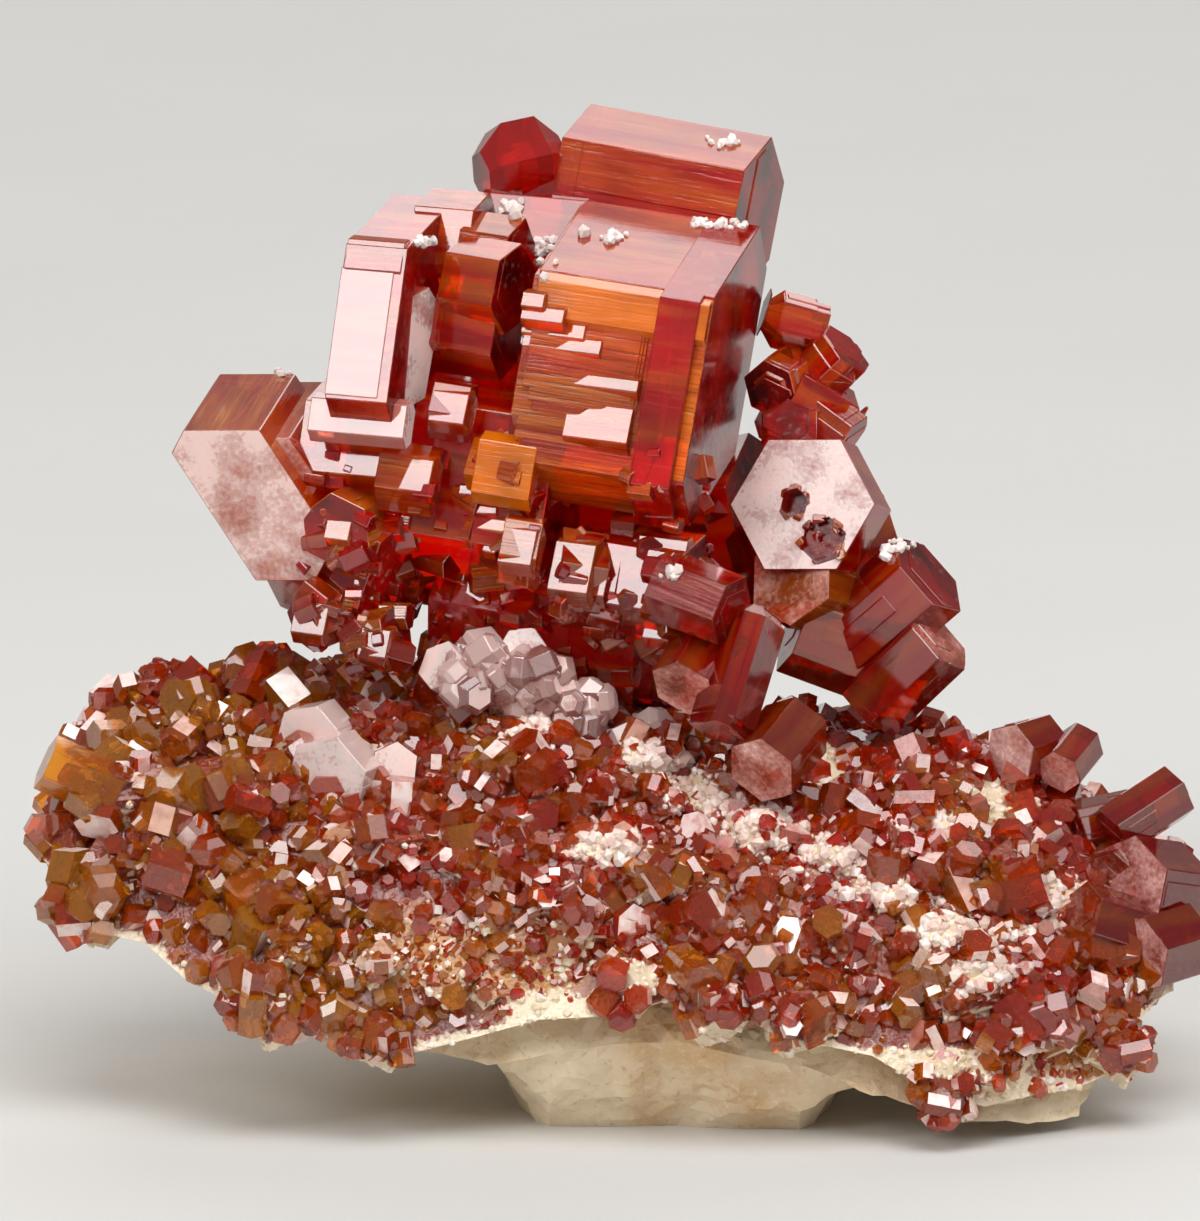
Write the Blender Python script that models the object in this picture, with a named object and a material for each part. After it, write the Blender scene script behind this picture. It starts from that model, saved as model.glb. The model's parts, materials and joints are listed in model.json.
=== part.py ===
"""Vanadinite on matrix: six-sided red crystals in groups on a cream rock with a crust of small crystals.

Lengths are in millimetres and are turned into metres when the meshes are made. Crystals are placed
as they are seen from the display side: across to the right, up, and depth away from the viewer.
"""

import math
import random
from collections import namedtuple

import bmesh
import bpy
from mathutils import Matrix, Vector, noise
from mathutils.bvhtree import BVHTree

MM = 0.001
SEED = 11
GAP = 0.3

# The display side is looked down on by this many degrees.
VIEW_TILT = 12.0
# The flat cut under the rock and the middle of the specimen, in the measure used for the crystals.
CUT_HEIGHT = 1.7
MIDDLE_ACROSS = 0.6
MIDDLE_BACK = 1.1

# Size and number of the crystals fused into the crust.
CRUST_CRYSTALS = 100
CRUST_SIDE_MIN = 0.55
CRUST_SIDE_MAX = 1.15
CRUST_SPACING = 1.5
ROCK_ROUGHNESS = 0.45
CRUST_ROUGHNESS = 0.5

# How far the tall groups stand in front of the depths given for them.
FORWARD = 2.5
# Depth of the crust seen from the display side: at no height, and how much deeper for each mm up.
SLOPE_FOOT = -12.0
SLOPE_LEAN = 0.6
# A place further away than any part of the specimen, from which the crust is looked for.
FAR_IN_FRONT = 80
# Direction that the summit crystals grew in, and the roll that turns a flat side up.
GROWTH_YAW = -13
GROWTH_DIP = -9
GROWTH_ROLL = 56

Crystal = namedtuple("Crystal", "across up depth yaw dip roll length faces bevel")
Station = namedtuple("Station", "x front top back under")


def crystal(across, up, depth, length, faces, yaw=GROWTH_YAW, dip=GROWTH_DIP, roll=GROWTH_ROLL, bevel=0.0):
    """A six-sided crystal. faces is one distance from the axis, or six from the upper face forwards."""
    return Crystal(across, up, depth, yaw, dip, roll, length, faces, bevel)


# Crystals of the summit. The first three are the main crystal: its proud right end, the stepped
# left of its front, and the lip along its top. Then come those left of it, the one on top, and
# the body below them.
SUMMIT = [
    crystal(3.8, 30.03, 0.39, 2.2, (6.84, 6.84, 6.84, 2.7, 2.7, 6.84)),
    crystal(0.19, 30.62, 1.25, 5.5, (6.78, 6.1, 4.6, 2.6, 2.6, 6.78)),
    crystal(1.25, 30.45, 1.0, 7.4, (6.81, 6.75, 1.3, 2.5, 2.5, 6.7)),
    crystal(-8.8, 32.45, 0.5, 2.7, 5.7, yaw=-16, dip=-5, roll=50),
    crystal(-6.7, 36.8, 1.2, 2.6, 2.1, yaw=-16, dip=-5, roll=50),
    crystal(-5.3, 35.1, -2.0, 2.6, 1.7, yaw=-28, dip=-9, roll=53),
    crystal(-5.0, 36.2, 0.0, 2.2, 1.7, yaw=-20),
    crystal(-5.8, 33.2, -1.0, 3.0, 1.7, yaw=-20),
    crystal(2.25, 38.9, 5.0, 8.2, 2.94, yaw=-18, dip=-10.5, roll=57),
    crystal(-3.9, 40.2, 4.6, 3.6, 1.9, yaw=20, dip=12, roll=20, bevel=0.7),
    crystal(-3.2, 37.0, 4.4, 4.6, 2.2, yaw=-10, dip=-5, roll=40),
    crystal(-14.3, 27.1, 0.8, 8.0, (3.3, 2.0, 3.7, 3.3, 1.8, 4.1), yaw=80, dip=18, roll=30),
    crystal(-13.0, 28.4, 1.4, 8.0, (1.6, 1.0, 1.4, 1.5, 1.0, 1.5), yaw=80, dip=18, roll=30),
    crystal(-10.4, 28.2, 0.0, 4.2, 2.6, yaw=-16, dip=-5, roll=50),
    crystal(-6.0, 27.0, 2.5, 9.0, 4.8),
    crystal(-4.4, 27.3, -2.5, 2.6, 1.4, yaw=-25, roll=40),
    crystal(-8.5, 27.0, -2.5, 2.4, 1.3, yaw=-10, roll=50),
    crystal(-6.7, 29.8, -2.8, 1.6, 1.2, yaw=-10, roll=35),
    crystal(-3.8, 24.0, -3.0, 1.6, 1.4, yaw=-5, roll=40),
    crystal(-1.5, 23.0, -3.0, 2.0, 1.7, yaw=10, roll=20),
    crystal(1.5, 22.5, -2.5, 4.0, 2.2, yaw=-20, roll=50),
    crystal(-2.5, 21.2, 2.6, 9.0, 3.6, roll=30),
    crystal(-12.2, 21.2, -2.0, 1.8, 1.1, yaw=30, dip=20),
    crystal(-9.8, 20.2, -2.5, 1.8, 1.2, yaw=-30, dip=10),
    crystal(-11.2, 25.0, -2.5, 2.2, 1.4, yaw=70, dip=10),
    crystal(-11.0, 23.6, 0.5, 5.0, 2.6, yaw=-30, dip=-20),
    crystal(0.0, 27.0, 7.0, 7.0, 4.2, yaw=-13, dip=-5, roll=35),
    crystal(-7.0, 29.0, 6.0, 6.0, 4.0, yaw=5, dip=-12, roll=20),
    crystal(4.5, 25.0, 6.0, 5.0, 3.2, yaw=-30, dip=10, roll=10),
]

# The pitted hexagonal plate, the knobbly crystals above it and the short prisms at its right.
RIGHT_CLUSTER = [
    crystal(8.3, 25.8, 0.0, 2.4, 2.75, yaw=72, dip=-6, roll=30),
    crystal(8.6, 24.0, 2.6, 4.6, 2.6, yaw=40, dip=20),
    crystal(8.2, 22.6, 0.4, 3.0, 1.8, yaw=60, dip=-10),
    crystal(8.4, 29.6, 2.6, 3.4, 1.7, yaw=20, dip=-30, bevel=0.4),
    crystal(7.3, 31.2, 2.2, 3.0, 1.2, yaw=60, dip=20, bevel=0.4),
    crystal(8.9, 31.6, 2.4, 2.8, 1.2, yaw=-30, dip=40, bevel=0.4),
    crystal(7.6, 33.6, 2.8, 2.6, 1.1, yaw=10, dip=-15, bevel=0.4),
    crystal(7.6, 28.9, 1.4, 2.6, 1.2, yaw=75, dip=-20, bevel=0.3),
    crystal(9.1, 29.3, 1.8, 2.4, 1.1, yaw=-20, dip=-35, bevel=0.3),
    crystal(11.5, 21.5, 0.6, 5.0, 1.8, yaw=-30, dip=37, roll=20),
    crystal(12.2, 18.9, 0.2, 4.4, 1.5, yaw=-30, dip=40, roll=10),
    crystal(10.0, 20.2, 1.6, 5.0, 2.0, yaw=10, dip=-20, roll=10),
]

# The short prism and the shield-shaped plate in front of the neck, and the prism at their right.
FRONT_CLUSTER = [
    crystal(3.5, 22.0, -5.6, 3.4, 1.35, yaw=-28, dip=-18, roll=45),
    crystal(5.2, 18.9, -5.4, 5.4, (1.2, 1.6, 1.2, 1.2, 1.6, 1.2), yaw=40, dip=68, roll=20, bevel=0.3),
    crystal(3.6, 19.4, -4.4, 3.6, 1.3, yaw=60, dip=40, roll=10),
    crystal(6.9, 15.7, -5.0, 3.4, 1.4, yaw=60, dip=30, roll=15),
]

# Plates and prisms that stand on the crust: their depth is found on the crust itself.
LEFT_PLATES = [
    crystal(-12.4, 16.2, 0.0, 1.8, 1.35, yaw=66, dip=10, roll=20),
    crystal(-11.6, 14.6, 0.0, 1.8, 1.65, yaw=66, dip=10, roll=20),
    crystal(-8.9, 14.9, 0.0, 1.6, 0.95, yaw=75, dip=-5, roll=5),
]
PALE_CLUSTER = [
    crystal(-6.6, 18.8, -2.2, 2.4, 0.95, yaw=55, dip=-20, roll=10),
    crystal(-5.2, 19.3, -2.0, 2.4, 1.0, yaw=-60, dip=-30, roll=40),
    crystal(-3.6, 19.3, -2.0, 2.6, 0.95, yaw=80, dip=-25, roll=25),
    crystal(-4.6, 18.3, -2.6, 2.0, 0.85, yaw=10, dip=-40, roll=15, bevel=0.3),
    crystal(-2.9, 18.0, -2.6, 2.0, 0.9, yaw=-80, dip=30, roll=5, bevel=0.3),
    crystal(-1.6, 17.5, -2.8, 2.2, 0.8, yaw=40, dip=-30, roll=15, bevel=0.3),
    crystal(-6.0, 17.9, -3.0, 2.2, 0.8, yaw=0, dip=40, roll=15),
]
RIGHT_PLATES = [
    crystal(17.4, 15.7, 0.0, 2.4, 1.15, yaw=50, dip=10, roll=20),
    crystal(19.2, 15.3, 0.0, 2.4, 0.9, yaw=60, dip=30, roll=0),
]
RIGHT_PRISMS = [
    crystal(22.2, 13.0, 0.0, 3.6, 1.1, yaw=25, dip=30, roll=10),
    crystal(20.6, 12.4, 0.0, 3.4, 1.2, yaw=30, dip=10, roll=40),
]
END_PLATES = [
    crystal(22.4, 9.8, 0.0, 3.6, 1.9, yaw=55, dip=-5, roll=10),
    crystal(22.8, 7.4, 0.0, 3.2, 1.5, yaw=50, dip=10, roll=20),
    crystal(20.6, 8.4, 0.0, 3.0, 1.3, yaw=35, dip=-15, roll=0),
    crystal(21.2, 10.6, 0.0, 2.8, 1.2, yaw=70, dip=20, roll=15),
]

# Middle-sized crystals of the crust that are large enough to know from a step away.
CRUST_LANDMARKS = [
    crystal(-22.6, 11.6, 0.0, 2.0, 0.9, yaw=50, dip=-10, roll=0),
    crystal(-20.5, 13.6, 0.0, 3.4, 1.2, yaw=10, dip=5, roll=30),
    crystal(-21.6, 9.2, 0.0, 2.4, 1.3, yaw=-35, dip=-30, roll=20),
    crystal(-17.4, 16.4, 0.0, 2.4, 1.3, yaw=30, dip=-30, roll=10),
    crystal(-19.2, 17.9, 0.0, 2.2, 1.0, yaw=70, dip=20, roll=25),
    crystal(-14.8, 18.6, 0.0, 2.4, 0.9, yaw=20, dip=30, roll=10),
    crystal(-15.2, 13.3, 0.0, 2.6, 1.3, yaw=-55, dip=60, roll=20),
    crystal(-9.6, 16.2, 0.0, 1.6, 0.9, yaw=-20, dip=10, roll=10),
    crystal(-3.1, 14.2, 0.0, 2.0, 0.7, yaw=50, dip=80, roll=10),
    crystal(12.2, 13.8, 0.0, 2.6, 0.9, yaw=-40, dip=40, roll=10),
    crystal(13.0, 13.0, 0.0, 2.2, 1.0, yaw=30, dip=10, roll=40),
    crystal(11.4, 11.0, 0.0, 1.8, 1.4, yaw=60, dip=-10, roll=10),
    crystal(13.7, 10.9, 0.0, 2.0, 1.0, yaw=-10, dip=5, roll=30),
    crystal(13.0, 6.9, 0.0, 2.0, 1.3, yaw=65, dip=-25, roll=5),
    crystal(14.6, 6.4, 0.0, 2.0, 1.1, yaw=50, dip=-35, roll=35),
    crystal(17.6, 6.0, 0.0, 2.4, 1.1, yaw=10, dip=-20, roll=15, bevel=0.3),
    crystal(18.4, 4.2, 0.0, 2.4, 1.1, yaw=60, dip=5, roll=5),
    crystal(15.5, 2.9, 0.0, 2.6, 0.8, yaw=70, dip=70, roll=5),
    crystal(13.7, 1.6, 0.0, 2.4, 0.8, yaw=35, dip=-65, roll=20),
    crystal(-15.2, 5.6, 0.0, 2.4, 0.9, yaw=-40, dip=-60, roll=5),
    crystal(-9.8, 3.6, 0.0, 2.0, 0.8, yaw=30, dip=-20, roll=25),
]

# Sections of the specimen at named distances across, each point as (depth on the floor, height).
CRUST_STATIONS = [
    Station(-23.6, (-3.0, 11.6), (-0.5, 13.6), (2.0, 13.0), (-0.5, 12.0)),
    Station(-20.5, (-6.5, 9.6), (2.0, 17.3), (6.0, 14.0), (1.0, 11.5)),
    Station(-15.5, (-9.5, 7.2), (3.5, 18.2), (9.0, 13.0), (1.0, 10.0)),
    Station(-9.0, (-11.0, 5.6), (3.0, 18.6), (11.0, 13.0), (1.0, 9.5)),
    Station(-3.5, (-11.5, 7.0), (1.5, 19.2), (11.5, 12.5), (1.0, 10.0)),
    Station(3.0, (-11.5, 8.0), (2.0, 16.4), (11.5, 12.0), (1.0, 10.0)),
    Station(9.0, (-12.0, 6.2), (2.0, 16.0), (11.0, 11.0), (1.0, 9.0)),
    Station(15.0, (-11.5, 3.6), (2.5, 15.8), (9.5, 10.0), (0.0, 8.0)),
    Station(20.0, (-9.0, 3.8), (1.5, 13.2), (7.0, 9.5), (-1.0, 7.5)),
    Station(23.2, (-5.0, 7.0), (-0.5, 11.2), (3.0, 9.5), (-1.0, 8.5)),
]
ROCK_STATIONS = [
    Station(-21.8, (-3.0, 11.2), (-0.5, 12.6), (3.5, 12.4), (0.0, 10.6)),
    Station(-19.0, (-6.0, 9.2), (1.5, 15.2), (8.0, 12.0), (0.0, 9.0)),
    Station(-13.0, (-9.2, 6.6), (3.0, 16.6), (11.2, 10.5), (0.0, 7.0)),
    Station(-5.2, (-10.2, 4.8), (3.0, 16.4), (12.4, 9.0), (0.0, 4.4)),
    Station(-2.8, (-10.2, 5.4), (2.6, 16.0), (12.6, 9.0), (0.0, -2.6)),
    Station(2.5, (-10.4, 6.0), (2.0, 15.0), (12.6, 9.0), (0.0, -3.0)),
    Station(7.4, (-10.8, 5.0), (2.0, 14.4), (12.0, 8.4), (0.0, -2.6)),
    Station(9.8, (-11.2, 4.0), (2.0, 14.2), (11.5, 8.0), (0.0, 3.6)),
    Station(15.0, (-10.8, 2.4), (2.0, 13.6), (10.4, 7.6), (-1.0, 4.2)),
    Station(19.5, (-8.6, 2.4), (1.0, 11.0), (7.6, 7.4), (-1.0, 4.6)),
    Station(21.8, (-5.0, 5.8), (-0.5, 9.4), (4.0, 8.2), (-1.0, 6.0)),
]
LOFT_RINGS = 26
LOFT_SIDES = 18
# 1 makes each quarter of a section a quarter ellipse, and 0 a straight line.
SECTION_ROUNDNESS = 0.6
# Bumps of the rock and the crust: how many to a millimetre, coarse and fine, and the fine ones' share.
COARSE_BUMPS = 0.35
FINE_BUMPS = 0.9
FINE_SHARE = 0.6

TILT = Matrix.Rotation(math.radians(-VIEW_TILT), 4, "X")


def clear_scene():
    for old in list(bpy.data.objects):
        bpy.data.objects.remove(old)


def add_collection(name, hidden):
    made = bpy.data.collections.new(name)
    made.hide_render = hidden
    bpy.context.scene.collection.children.link(made)
    return made


def add_material(name, colour, roughness):
    """A plain surface of one colour."""
    made = bpy.data.materials.new(name)
    made.use_nodes = True
    shader = made.node_tree.nodes["Principled BSDF"]
    shader.inputs["Base Color"].default_value = (*colour, 1.0)
    shader.inputs["Roughness"].default_value = roughness
    shader.inputs["Metallic"].default_value = 0.0
    return made


def add_object(name, mesh_maker, collection, material=None):
    """An object whose mesh is read from a bmesh and cleared of it."""
    mesh = bpy.data.meshes.new(name)
    mesh_maker.to_mesh(mesh)
    mesh_maker.free()
    made = bpy.data.objects.new(name, mesh)
    if material:
        mesh.materials.append(material)
    collection.objects.link(made)
    return made


def cut_flat(maker, distance, direction):
    """Takes off what lies past a plane and closes the cut."""
    geometry = maker.verts[:] + maker.edges[:] + maker.faces[:]
    cut = bmesh.ops.bisect_plane(
        maker, geom=geometry, plane_co=direction * distance, plane_no=direction, clear_outer=True
    )
    rim = [item for item in cut["geom_cut"] if isinstance(item, bmesh.types.BMEdge)]
    if rim:
        bmesh.ops.edgeloop_fill(maker, edges=rim)


def side_directions():
    return [Vector((math.cos(math.radians(60 * k)), math.sin(math.radians(60 * k)), 0)) for k in range(6)]


def crystal_maker(item, grow=0.0):
    """A block cut down by the six sides, with its ends bevelled where the crystal has bevels."""
    faces = item.faces if isinstance(item.faces, tuple) else (item.faces,) * 6
    half = item.length / 2 + grow
    maker = bmesh.new()
    bmesh.ops.create_cube(maker, size=4 * max(faces) + 4)
    for distance, side in zip(faces, side_directions()):
        cut_flat(maker, distance + grow, side)
    for end in (1, -1):
        cut_flat(maker, half, Vector((0, 0, end)))
    if item.bevel:
        for distance, side in zip(faces, side_directions()):
            for end in (1, -1):
                slope = (side + Vector((0, 0, 0.9 * end))).normalized()
                corner = side * (distance + grow) + Vector((0, 0, end * half))
                cut_flat(maker, corner.dot(slope) - item.bevel, slope)
    return maker


def turn_of(item):
    """Lays the long axis across, rolls it, then dips and turns it, and tilts all to the display side."""
    lay_down = Matrix.Rotation(math.radians(90), 4, "Y") @ Matrix.Rotation(math.radians(150), 4, "Z")
    roll = Matrix.Rotation(math.radians(item.roll), 4, "X")
    dip = Matrix.Rotation(math.radians(-item.dip), 4, "Y")
    yaw = Matrix.Rotation(math.radians(item.yaw), 4, "Z")
    return TILT @ yaw @ dip @ roll @ lay_down


def seen_at(across, up, depth):
    """The place in space of a point given as it is seen from the display side."""
    return TILT @ Vector((across, depth, up))


def add_crystal(name, item, collection, grow=0.0):
    maker = crystal_maker(item, grow)
    place = Matrix.Translation(seen_at(item.across, item.up, item.depth)) @ turn_of(item)
    bmesh.ops.transform(maker, matrix=place, verts=maker.verts)
    return add_object(name, maker, collection)


def between(stations, x, part):
    """A section point at x, eased between the named stations."""
    if x <= stations[0].x:
        return Vector(getattr(stations[0], part))
    for low, high in zip(stations, stations[1:]):
        if x <= high.x:
            share = (x - low.x) / (high.x - low.x)
            share = share * share * (3 - 2 * share)
            return Vector(getattr(low, part)).lerp(Vector(getattr(high, part)), share)
    return Vector(getattr(stations[-1], part))


def section_point(stations, x, angle):
    """A point of the closed section at x: front at 0, top at 90, back at 180 and under at 270."""
    names = ("front", "top", "back", "under")
    quarter = int(angle // 90) % 4
    start = between(stations, x, names[quarter])
    end = between(stations, x, names[(quarter + 1) % 4])
    turn = math.radians(angle - 90 * (angle // 90))
    early = 1 - math.cos(turn)
    late = math.sin(turn)
    ahead, rise = (early, late) if quarter % 2 == 0 else (late, early)
    straight = turn / (math.pi / 2)
    ahead = SECTION_ROUNDNESS * ahead + (1 - SECTION_ROUNDNESS) * straight
    rise = SECTION_ROUNDNESS * rise + (1 - SECTION_ROUNDNESS) * straight
    return Vector((x, start.x + (end.x - start.x) * ahead, start.y + (end.y - start.y) * rise))


def loft_maker(stations, roughness, grow=0.0):
    """A tube of rings bent to the sections, closed by its end caps and roughened."""
    maker = bmesh.new()
    low = stations[0].x - grow
    high = stations[-1].x + grow
    rings = []
    for step in range(LOFT_RINGS + 1):
        x = low + (high - low) * (0.5 - 0.5 * math.cos(math.pi * step / LOFT_RINGS))
        ring = [section_point(stations, x, 360 * k / LOFT_SIDES) for k in range(LOFT_SIDES)]
        rings.append([maker.verts.new(point) for point in ring])
    for near, far in zip(rings, rings[1:]):
        for k in range(LOFT_SIDES):
            after = (k + 1) % LOFT_SIDES
            maker.faces.new((near[k], near[after], far[after], far[k]))
    maker.faces.new(rings[0][::-1])
    maker.faces.new(rings[-1])
    bmesh.ops.recalc_face_normals(maker, faces=maker.faces)
    maker.normal_update()
    moves = []
    for vert in maker.verts:
        bump = noise.noise(vert.co * COARSE_BUMPS) + FINE_SHARE * noise.noise(vert.co * FINE_BUMPS)
        moves.append(vert.normal * (roughness * bump + grow))
    for vert, move in zip(maker.verts, moves):
        vert.co += move
    bmesh.ops.triangulate(maker, faces=maker.faces)
    return maker


def boolean(target, operation, operand):
    """Adds a Boolean with one object, or with all those of a collection."""
    made = target.modifiers.new(operation.lower(), "BOOLEAN")
    made.operation = operation
    made.solver = "MANIFOLD"
    if isinstance(operand, bpy.types.Collection):
        made.operand_type = "COLLECTION"
        made.collection = operand
    else:
        made.object = operand


def connected(start):
    """All the points that edges join to this one."""
    found = {start}
    waiting = [start]
    while waiting:
        for edge in waiting.pop().link_edges:
            for vert in edge.verts:
                if vert not in found:
                    found.add(vert)
                    waiting.append(vert)
    return found


def bake(target):
    """Turns an object's modifiers into its mesh and drops the crumbs that a cut left loose."""
    graph = bpy.context.evaluated_depsgraph_get()
    mesh = bpy.data.meshes.new_from_object(target.evaluated_get(graph))
    maker = bmesh.new()
    maker.from_mesh(mesh)
    pieces = []
    left = set(maker.verts)
    while left:
        pieces.append(connected(next(iter(left))))
        left -= pieces[-1]
    largest = max(pieces, key=len)
    bmesh.ops.delete(maker, geom=[vert for vert in maker.verts if vert not in largest], context="VERTS")
    maker.to_mesh(mesh)
    maker.free()
    target.modifiers.clear()
    target.data = mesh


def grown_together(name, items, parts, cutters, kept_clear):
    """One solid of crystals that grew into each other, cut clear of what stands beside it."""
    others = bpy.data.collections.new(name + "_others")
    cutters.children.link(others)
    first = add_crystal(name, items[0], parts)
    for number, item in enumerate(items[1:]):
        add_crystal(f"{name}_{number}", item, others)
    boolean(first, "UNION", others)
    for obstacle in kept_clear:
        boolean(first, "DIFFERENCE", obstacle)
    bake(first)
    return first


def grown_copies(name, items, cutters):
    """The crystals of a group, each larger by the gap, as a collection of cutters."""
    made = bpy.data.collections.new(name + "_room")
    cutters.children.link(made)
    for number, item in enumerate(items):
        add_crystal(f"{name}_room_{number}", item, made, grow=GAP)
    return made


def tree_of(objects):
    """A search tree of the faces of several objects."""
    points = []
    polygons = []
    for item in objects:
        first = len(points)
        points += [vert.co.copy() for vert in item.data.vertices]
        polygons += [[first + k for k in face.vertices] for face in item.data.polygons]
    return BVHTree.FromPolygons(points, polygons)


def seated(item, tree):
    """The crystal at the depth where the viewer's line of sight meets the crust."""
    start = seen_at(item.across, item.up, -FAR_IN_FRONT)
    direction = (seen_at(item.across, item.up, 0) - start).normalized()
    hit, _, _, distance = tree.ray_cast(start, direction)
    if hit is None:
        hit, _, _, _ = tree.find_nearest(seen_at(item.across, item.up, SLOPE_FOOT + SLOPE_LEAN * item.up))
        distance = (hit - start).dot(direction)
    return item._replace(depth=distance - FAR_IN_FRONT)


def crust_crystals(surface, blockers, rng):
    """Small crystals at random places on the crust, clear of the larger groups."""
    surface.calc_loop_triangles()
    triangles = [t for t in surface.loop_triangles if t.area > 0.01]
    weights = [t.area for t in triangles]
    chosen = []
    places = []
    while len(chosen) < CRUST_CRYSTALS:
        triangle = rng.choices(triangles, weights)[0]
        corners = [surface.vertices[k].co for k in triangle.vertices]
        a, b = sorted((rng.random(), rng.random()))
        place = corners[0] * a + corners[1] * (b - a) + corners[2] * (1 - b)
        side = rng.uniform(CRUST_SIDE_MIN, CRUST_SIDE_MAX)
        length = side * rng.uniform(1.2, 2.6)
        reach = math.hypot(side * 1.16, length / 2)
        crowded = any((place - other).length < CRUST_SPACING for other in places)
        blocked = blockers.find_nearest(place)[3] < reach + GAP
        if crowded or blocked or triangle.normal.z < -0.1:
            continue
        places.append(place)
        seen = TILT.inverted() @ place
        yaw, dip, roll = rng.uniform(-90, 90), rng.uniform(-70, 70), rng.uniform(0, 60)
        chosen.append(crystal(seen.x, seen.z, seen.y, length, side, yaw=yaw, dip=dip, roll=roll))
    return chosen


def finish_node(node, material):
    """Brings a node over the origin on its cut, in metres, and gives it its material."""
    node.data.transform(Matrix.Translation((-MIDDLE_ACROSS, -MIDDLE_BACK, -CUT_HEIGHT)))
    node.data.transform(Matrix.Scale(MM, 4))
    node.data.materials.clear()
    node.data.materials.append(material)


def build():
    clear_scene()
    rng = random.Random(SEED)
    parts = add_collection("vanadinite_on_matrix", hidden=False)
    cutters = add_collection("cutters", hidden=True)
    red = add_material("deep_red_vanadinite", (0.22, 0.02, 0.012), 0.08)
    orange = add_material("orange_brown_vanadinite", (0.42, 0.09, 0.02), 0.2)
    pale = add_material("pale_pink_vanadinite", (0.72, 0.5, 0.46), 0.3)
    cream = add_material("cream_matrix_rock", (0.72, 0.56, 0.38), 0.85)

    rock_maker = loft_maker(ROCK_STATIONS, ROCK_ROUGHNESS)
    cut_flat(rock_maker, -CUT_HEIGHT, Vector((0, 0, -1)))
    rock = add_object("matrix_rock", rock_maker, parts)
    rock_room = add_object("rock_room", loft_maker(ROCK_STATIONS, ROCK_ROUGHNESS, GAP), cutters)
    crust = add_object("crystal_crust", loft_maker(CRUST_STATIONS, CRUST_ROUGHNESS), parts)
    crust_room = add_object("crust_room", loft_maker(CRUST_STATIONS, CRUST_ROUGHNESS, GAP), cutters)
    crust_tree = tree_of([crust])

    kept_clear = [crust_room, rock_room]
    groups = []
    finished = [(rock, cream), (crust, orange)]
    for name, items, material, stands_on_crust in (
        ("summit_cluster", SUMMIT, red, False),
        ("right_cluster", RIGHT_CLUSTER, red, False),
        ("front_cluster", FRONT_CLUSTER, red, False),
        ("left_plates", LEFT_PLATES, pale, True),
        ("pale_cluster", PALE_CLUSTER, pale, False),
        ("right_plates", RIGHT_PLATES, red, True),
        ("right_prisms", RIGHT_PRISMS, red, True),
        ("end_plates", END_PLATES, red, True),
    ):
        if stands_on_crust:
            items = [seated(item, crust_tree) for item in items]
        else:
            items = [item._replace(depth=item.depth - FORWARD) for item in items]
        group = grown_together(name, items, parts, cutters, kept_clear)
        kept_clear.append(grown_copies(name, items, cutters))
        groups.append(group)
        finished.append((group, material))
    landmarks = [seated(item, crust_tree) for item in CRUST_LANDMARKS]
    blockers = tree_of(groups)
    small = crust_crystals(crust.data, blockers, rng)
    fused = bpy.data.collections.new("crust_crystals")
    cutters.children.link(fused)
    for number, item in enumerate(landmarks + small):
        add_crystal(f"crust_{number}", item, fused)
    boolean(crust, "UNION", fused)
    boolean(crust, "DIFFERENCE", rock_room)
    bake(crust)
    for node, material in finished:
        finish_node(node, material)


build()
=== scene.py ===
"""Vanadinite on matrix: red six-sided crystals on a cream rock with a carpet of small crystals.

The crystals are placed as they are seen from the display side, in millimetres: across to the
right, up, and depth away from the viewer. The finished meshes are in metres.
"""

import json
import math
import random
from collections import namedtuple

import bmesh
import bpy
from mathutils import Euler, Matrix, Vector, noise
from mathutils.bvhtree import BVHTree

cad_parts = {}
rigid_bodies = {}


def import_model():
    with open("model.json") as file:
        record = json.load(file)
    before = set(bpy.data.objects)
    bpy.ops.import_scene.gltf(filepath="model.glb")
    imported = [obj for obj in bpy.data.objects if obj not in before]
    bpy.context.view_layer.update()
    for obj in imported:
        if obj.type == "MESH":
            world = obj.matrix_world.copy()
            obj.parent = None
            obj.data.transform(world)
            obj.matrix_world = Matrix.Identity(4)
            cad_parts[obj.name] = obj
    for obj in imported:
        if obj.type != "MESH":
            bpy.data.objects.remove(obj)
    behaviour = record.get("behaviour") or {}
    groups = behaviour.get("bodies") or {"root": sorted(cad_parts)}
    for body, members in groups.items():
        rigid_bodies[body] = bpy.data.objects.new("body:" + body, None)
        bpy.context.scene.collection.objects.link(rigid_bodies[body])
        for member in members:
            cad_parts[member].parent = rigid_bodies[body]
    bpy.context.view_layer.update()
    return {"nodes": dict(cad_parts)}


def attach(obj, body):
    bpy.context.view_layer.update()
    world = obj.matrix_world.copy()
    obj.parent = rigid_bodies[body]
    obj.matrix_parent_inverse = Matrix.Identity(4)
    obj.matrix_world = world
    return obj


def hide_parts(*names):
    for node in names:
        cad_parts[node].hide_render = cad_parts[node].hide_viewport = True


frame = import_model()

bl_info = {
    "name": "Vanadinite on matrix",
    "version": (1, 0, 0),
    "blender": (4, 5, 0),
    "location": "View3D > Sidebar > Specimen",
    "description": "Builds a mineral specimen of red vanadinite crystals on a cream rock",
    "category": "Add Mesh",
}

MM = 0.001

# The display side is looked down on by this many degrees.
VIEW_TILT = 12.0
# What the crystals' places are moved by to bring the specimen over the origin on its flat cut.
MIDDLE_ACROSS = 0.6
MIDDLE_BACK = 1.1
CUT_HEIGHT = 1.7
# How far the tall groups stand in front of the depths given for them.
FORWARD = 2.5
# Direction that the summit crystals grew in, and the roll that turns a flat side up.
GROWTH_YAW = -13
GROWTH_DIP = -9
GROWTH_ROLL = 56

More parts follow.
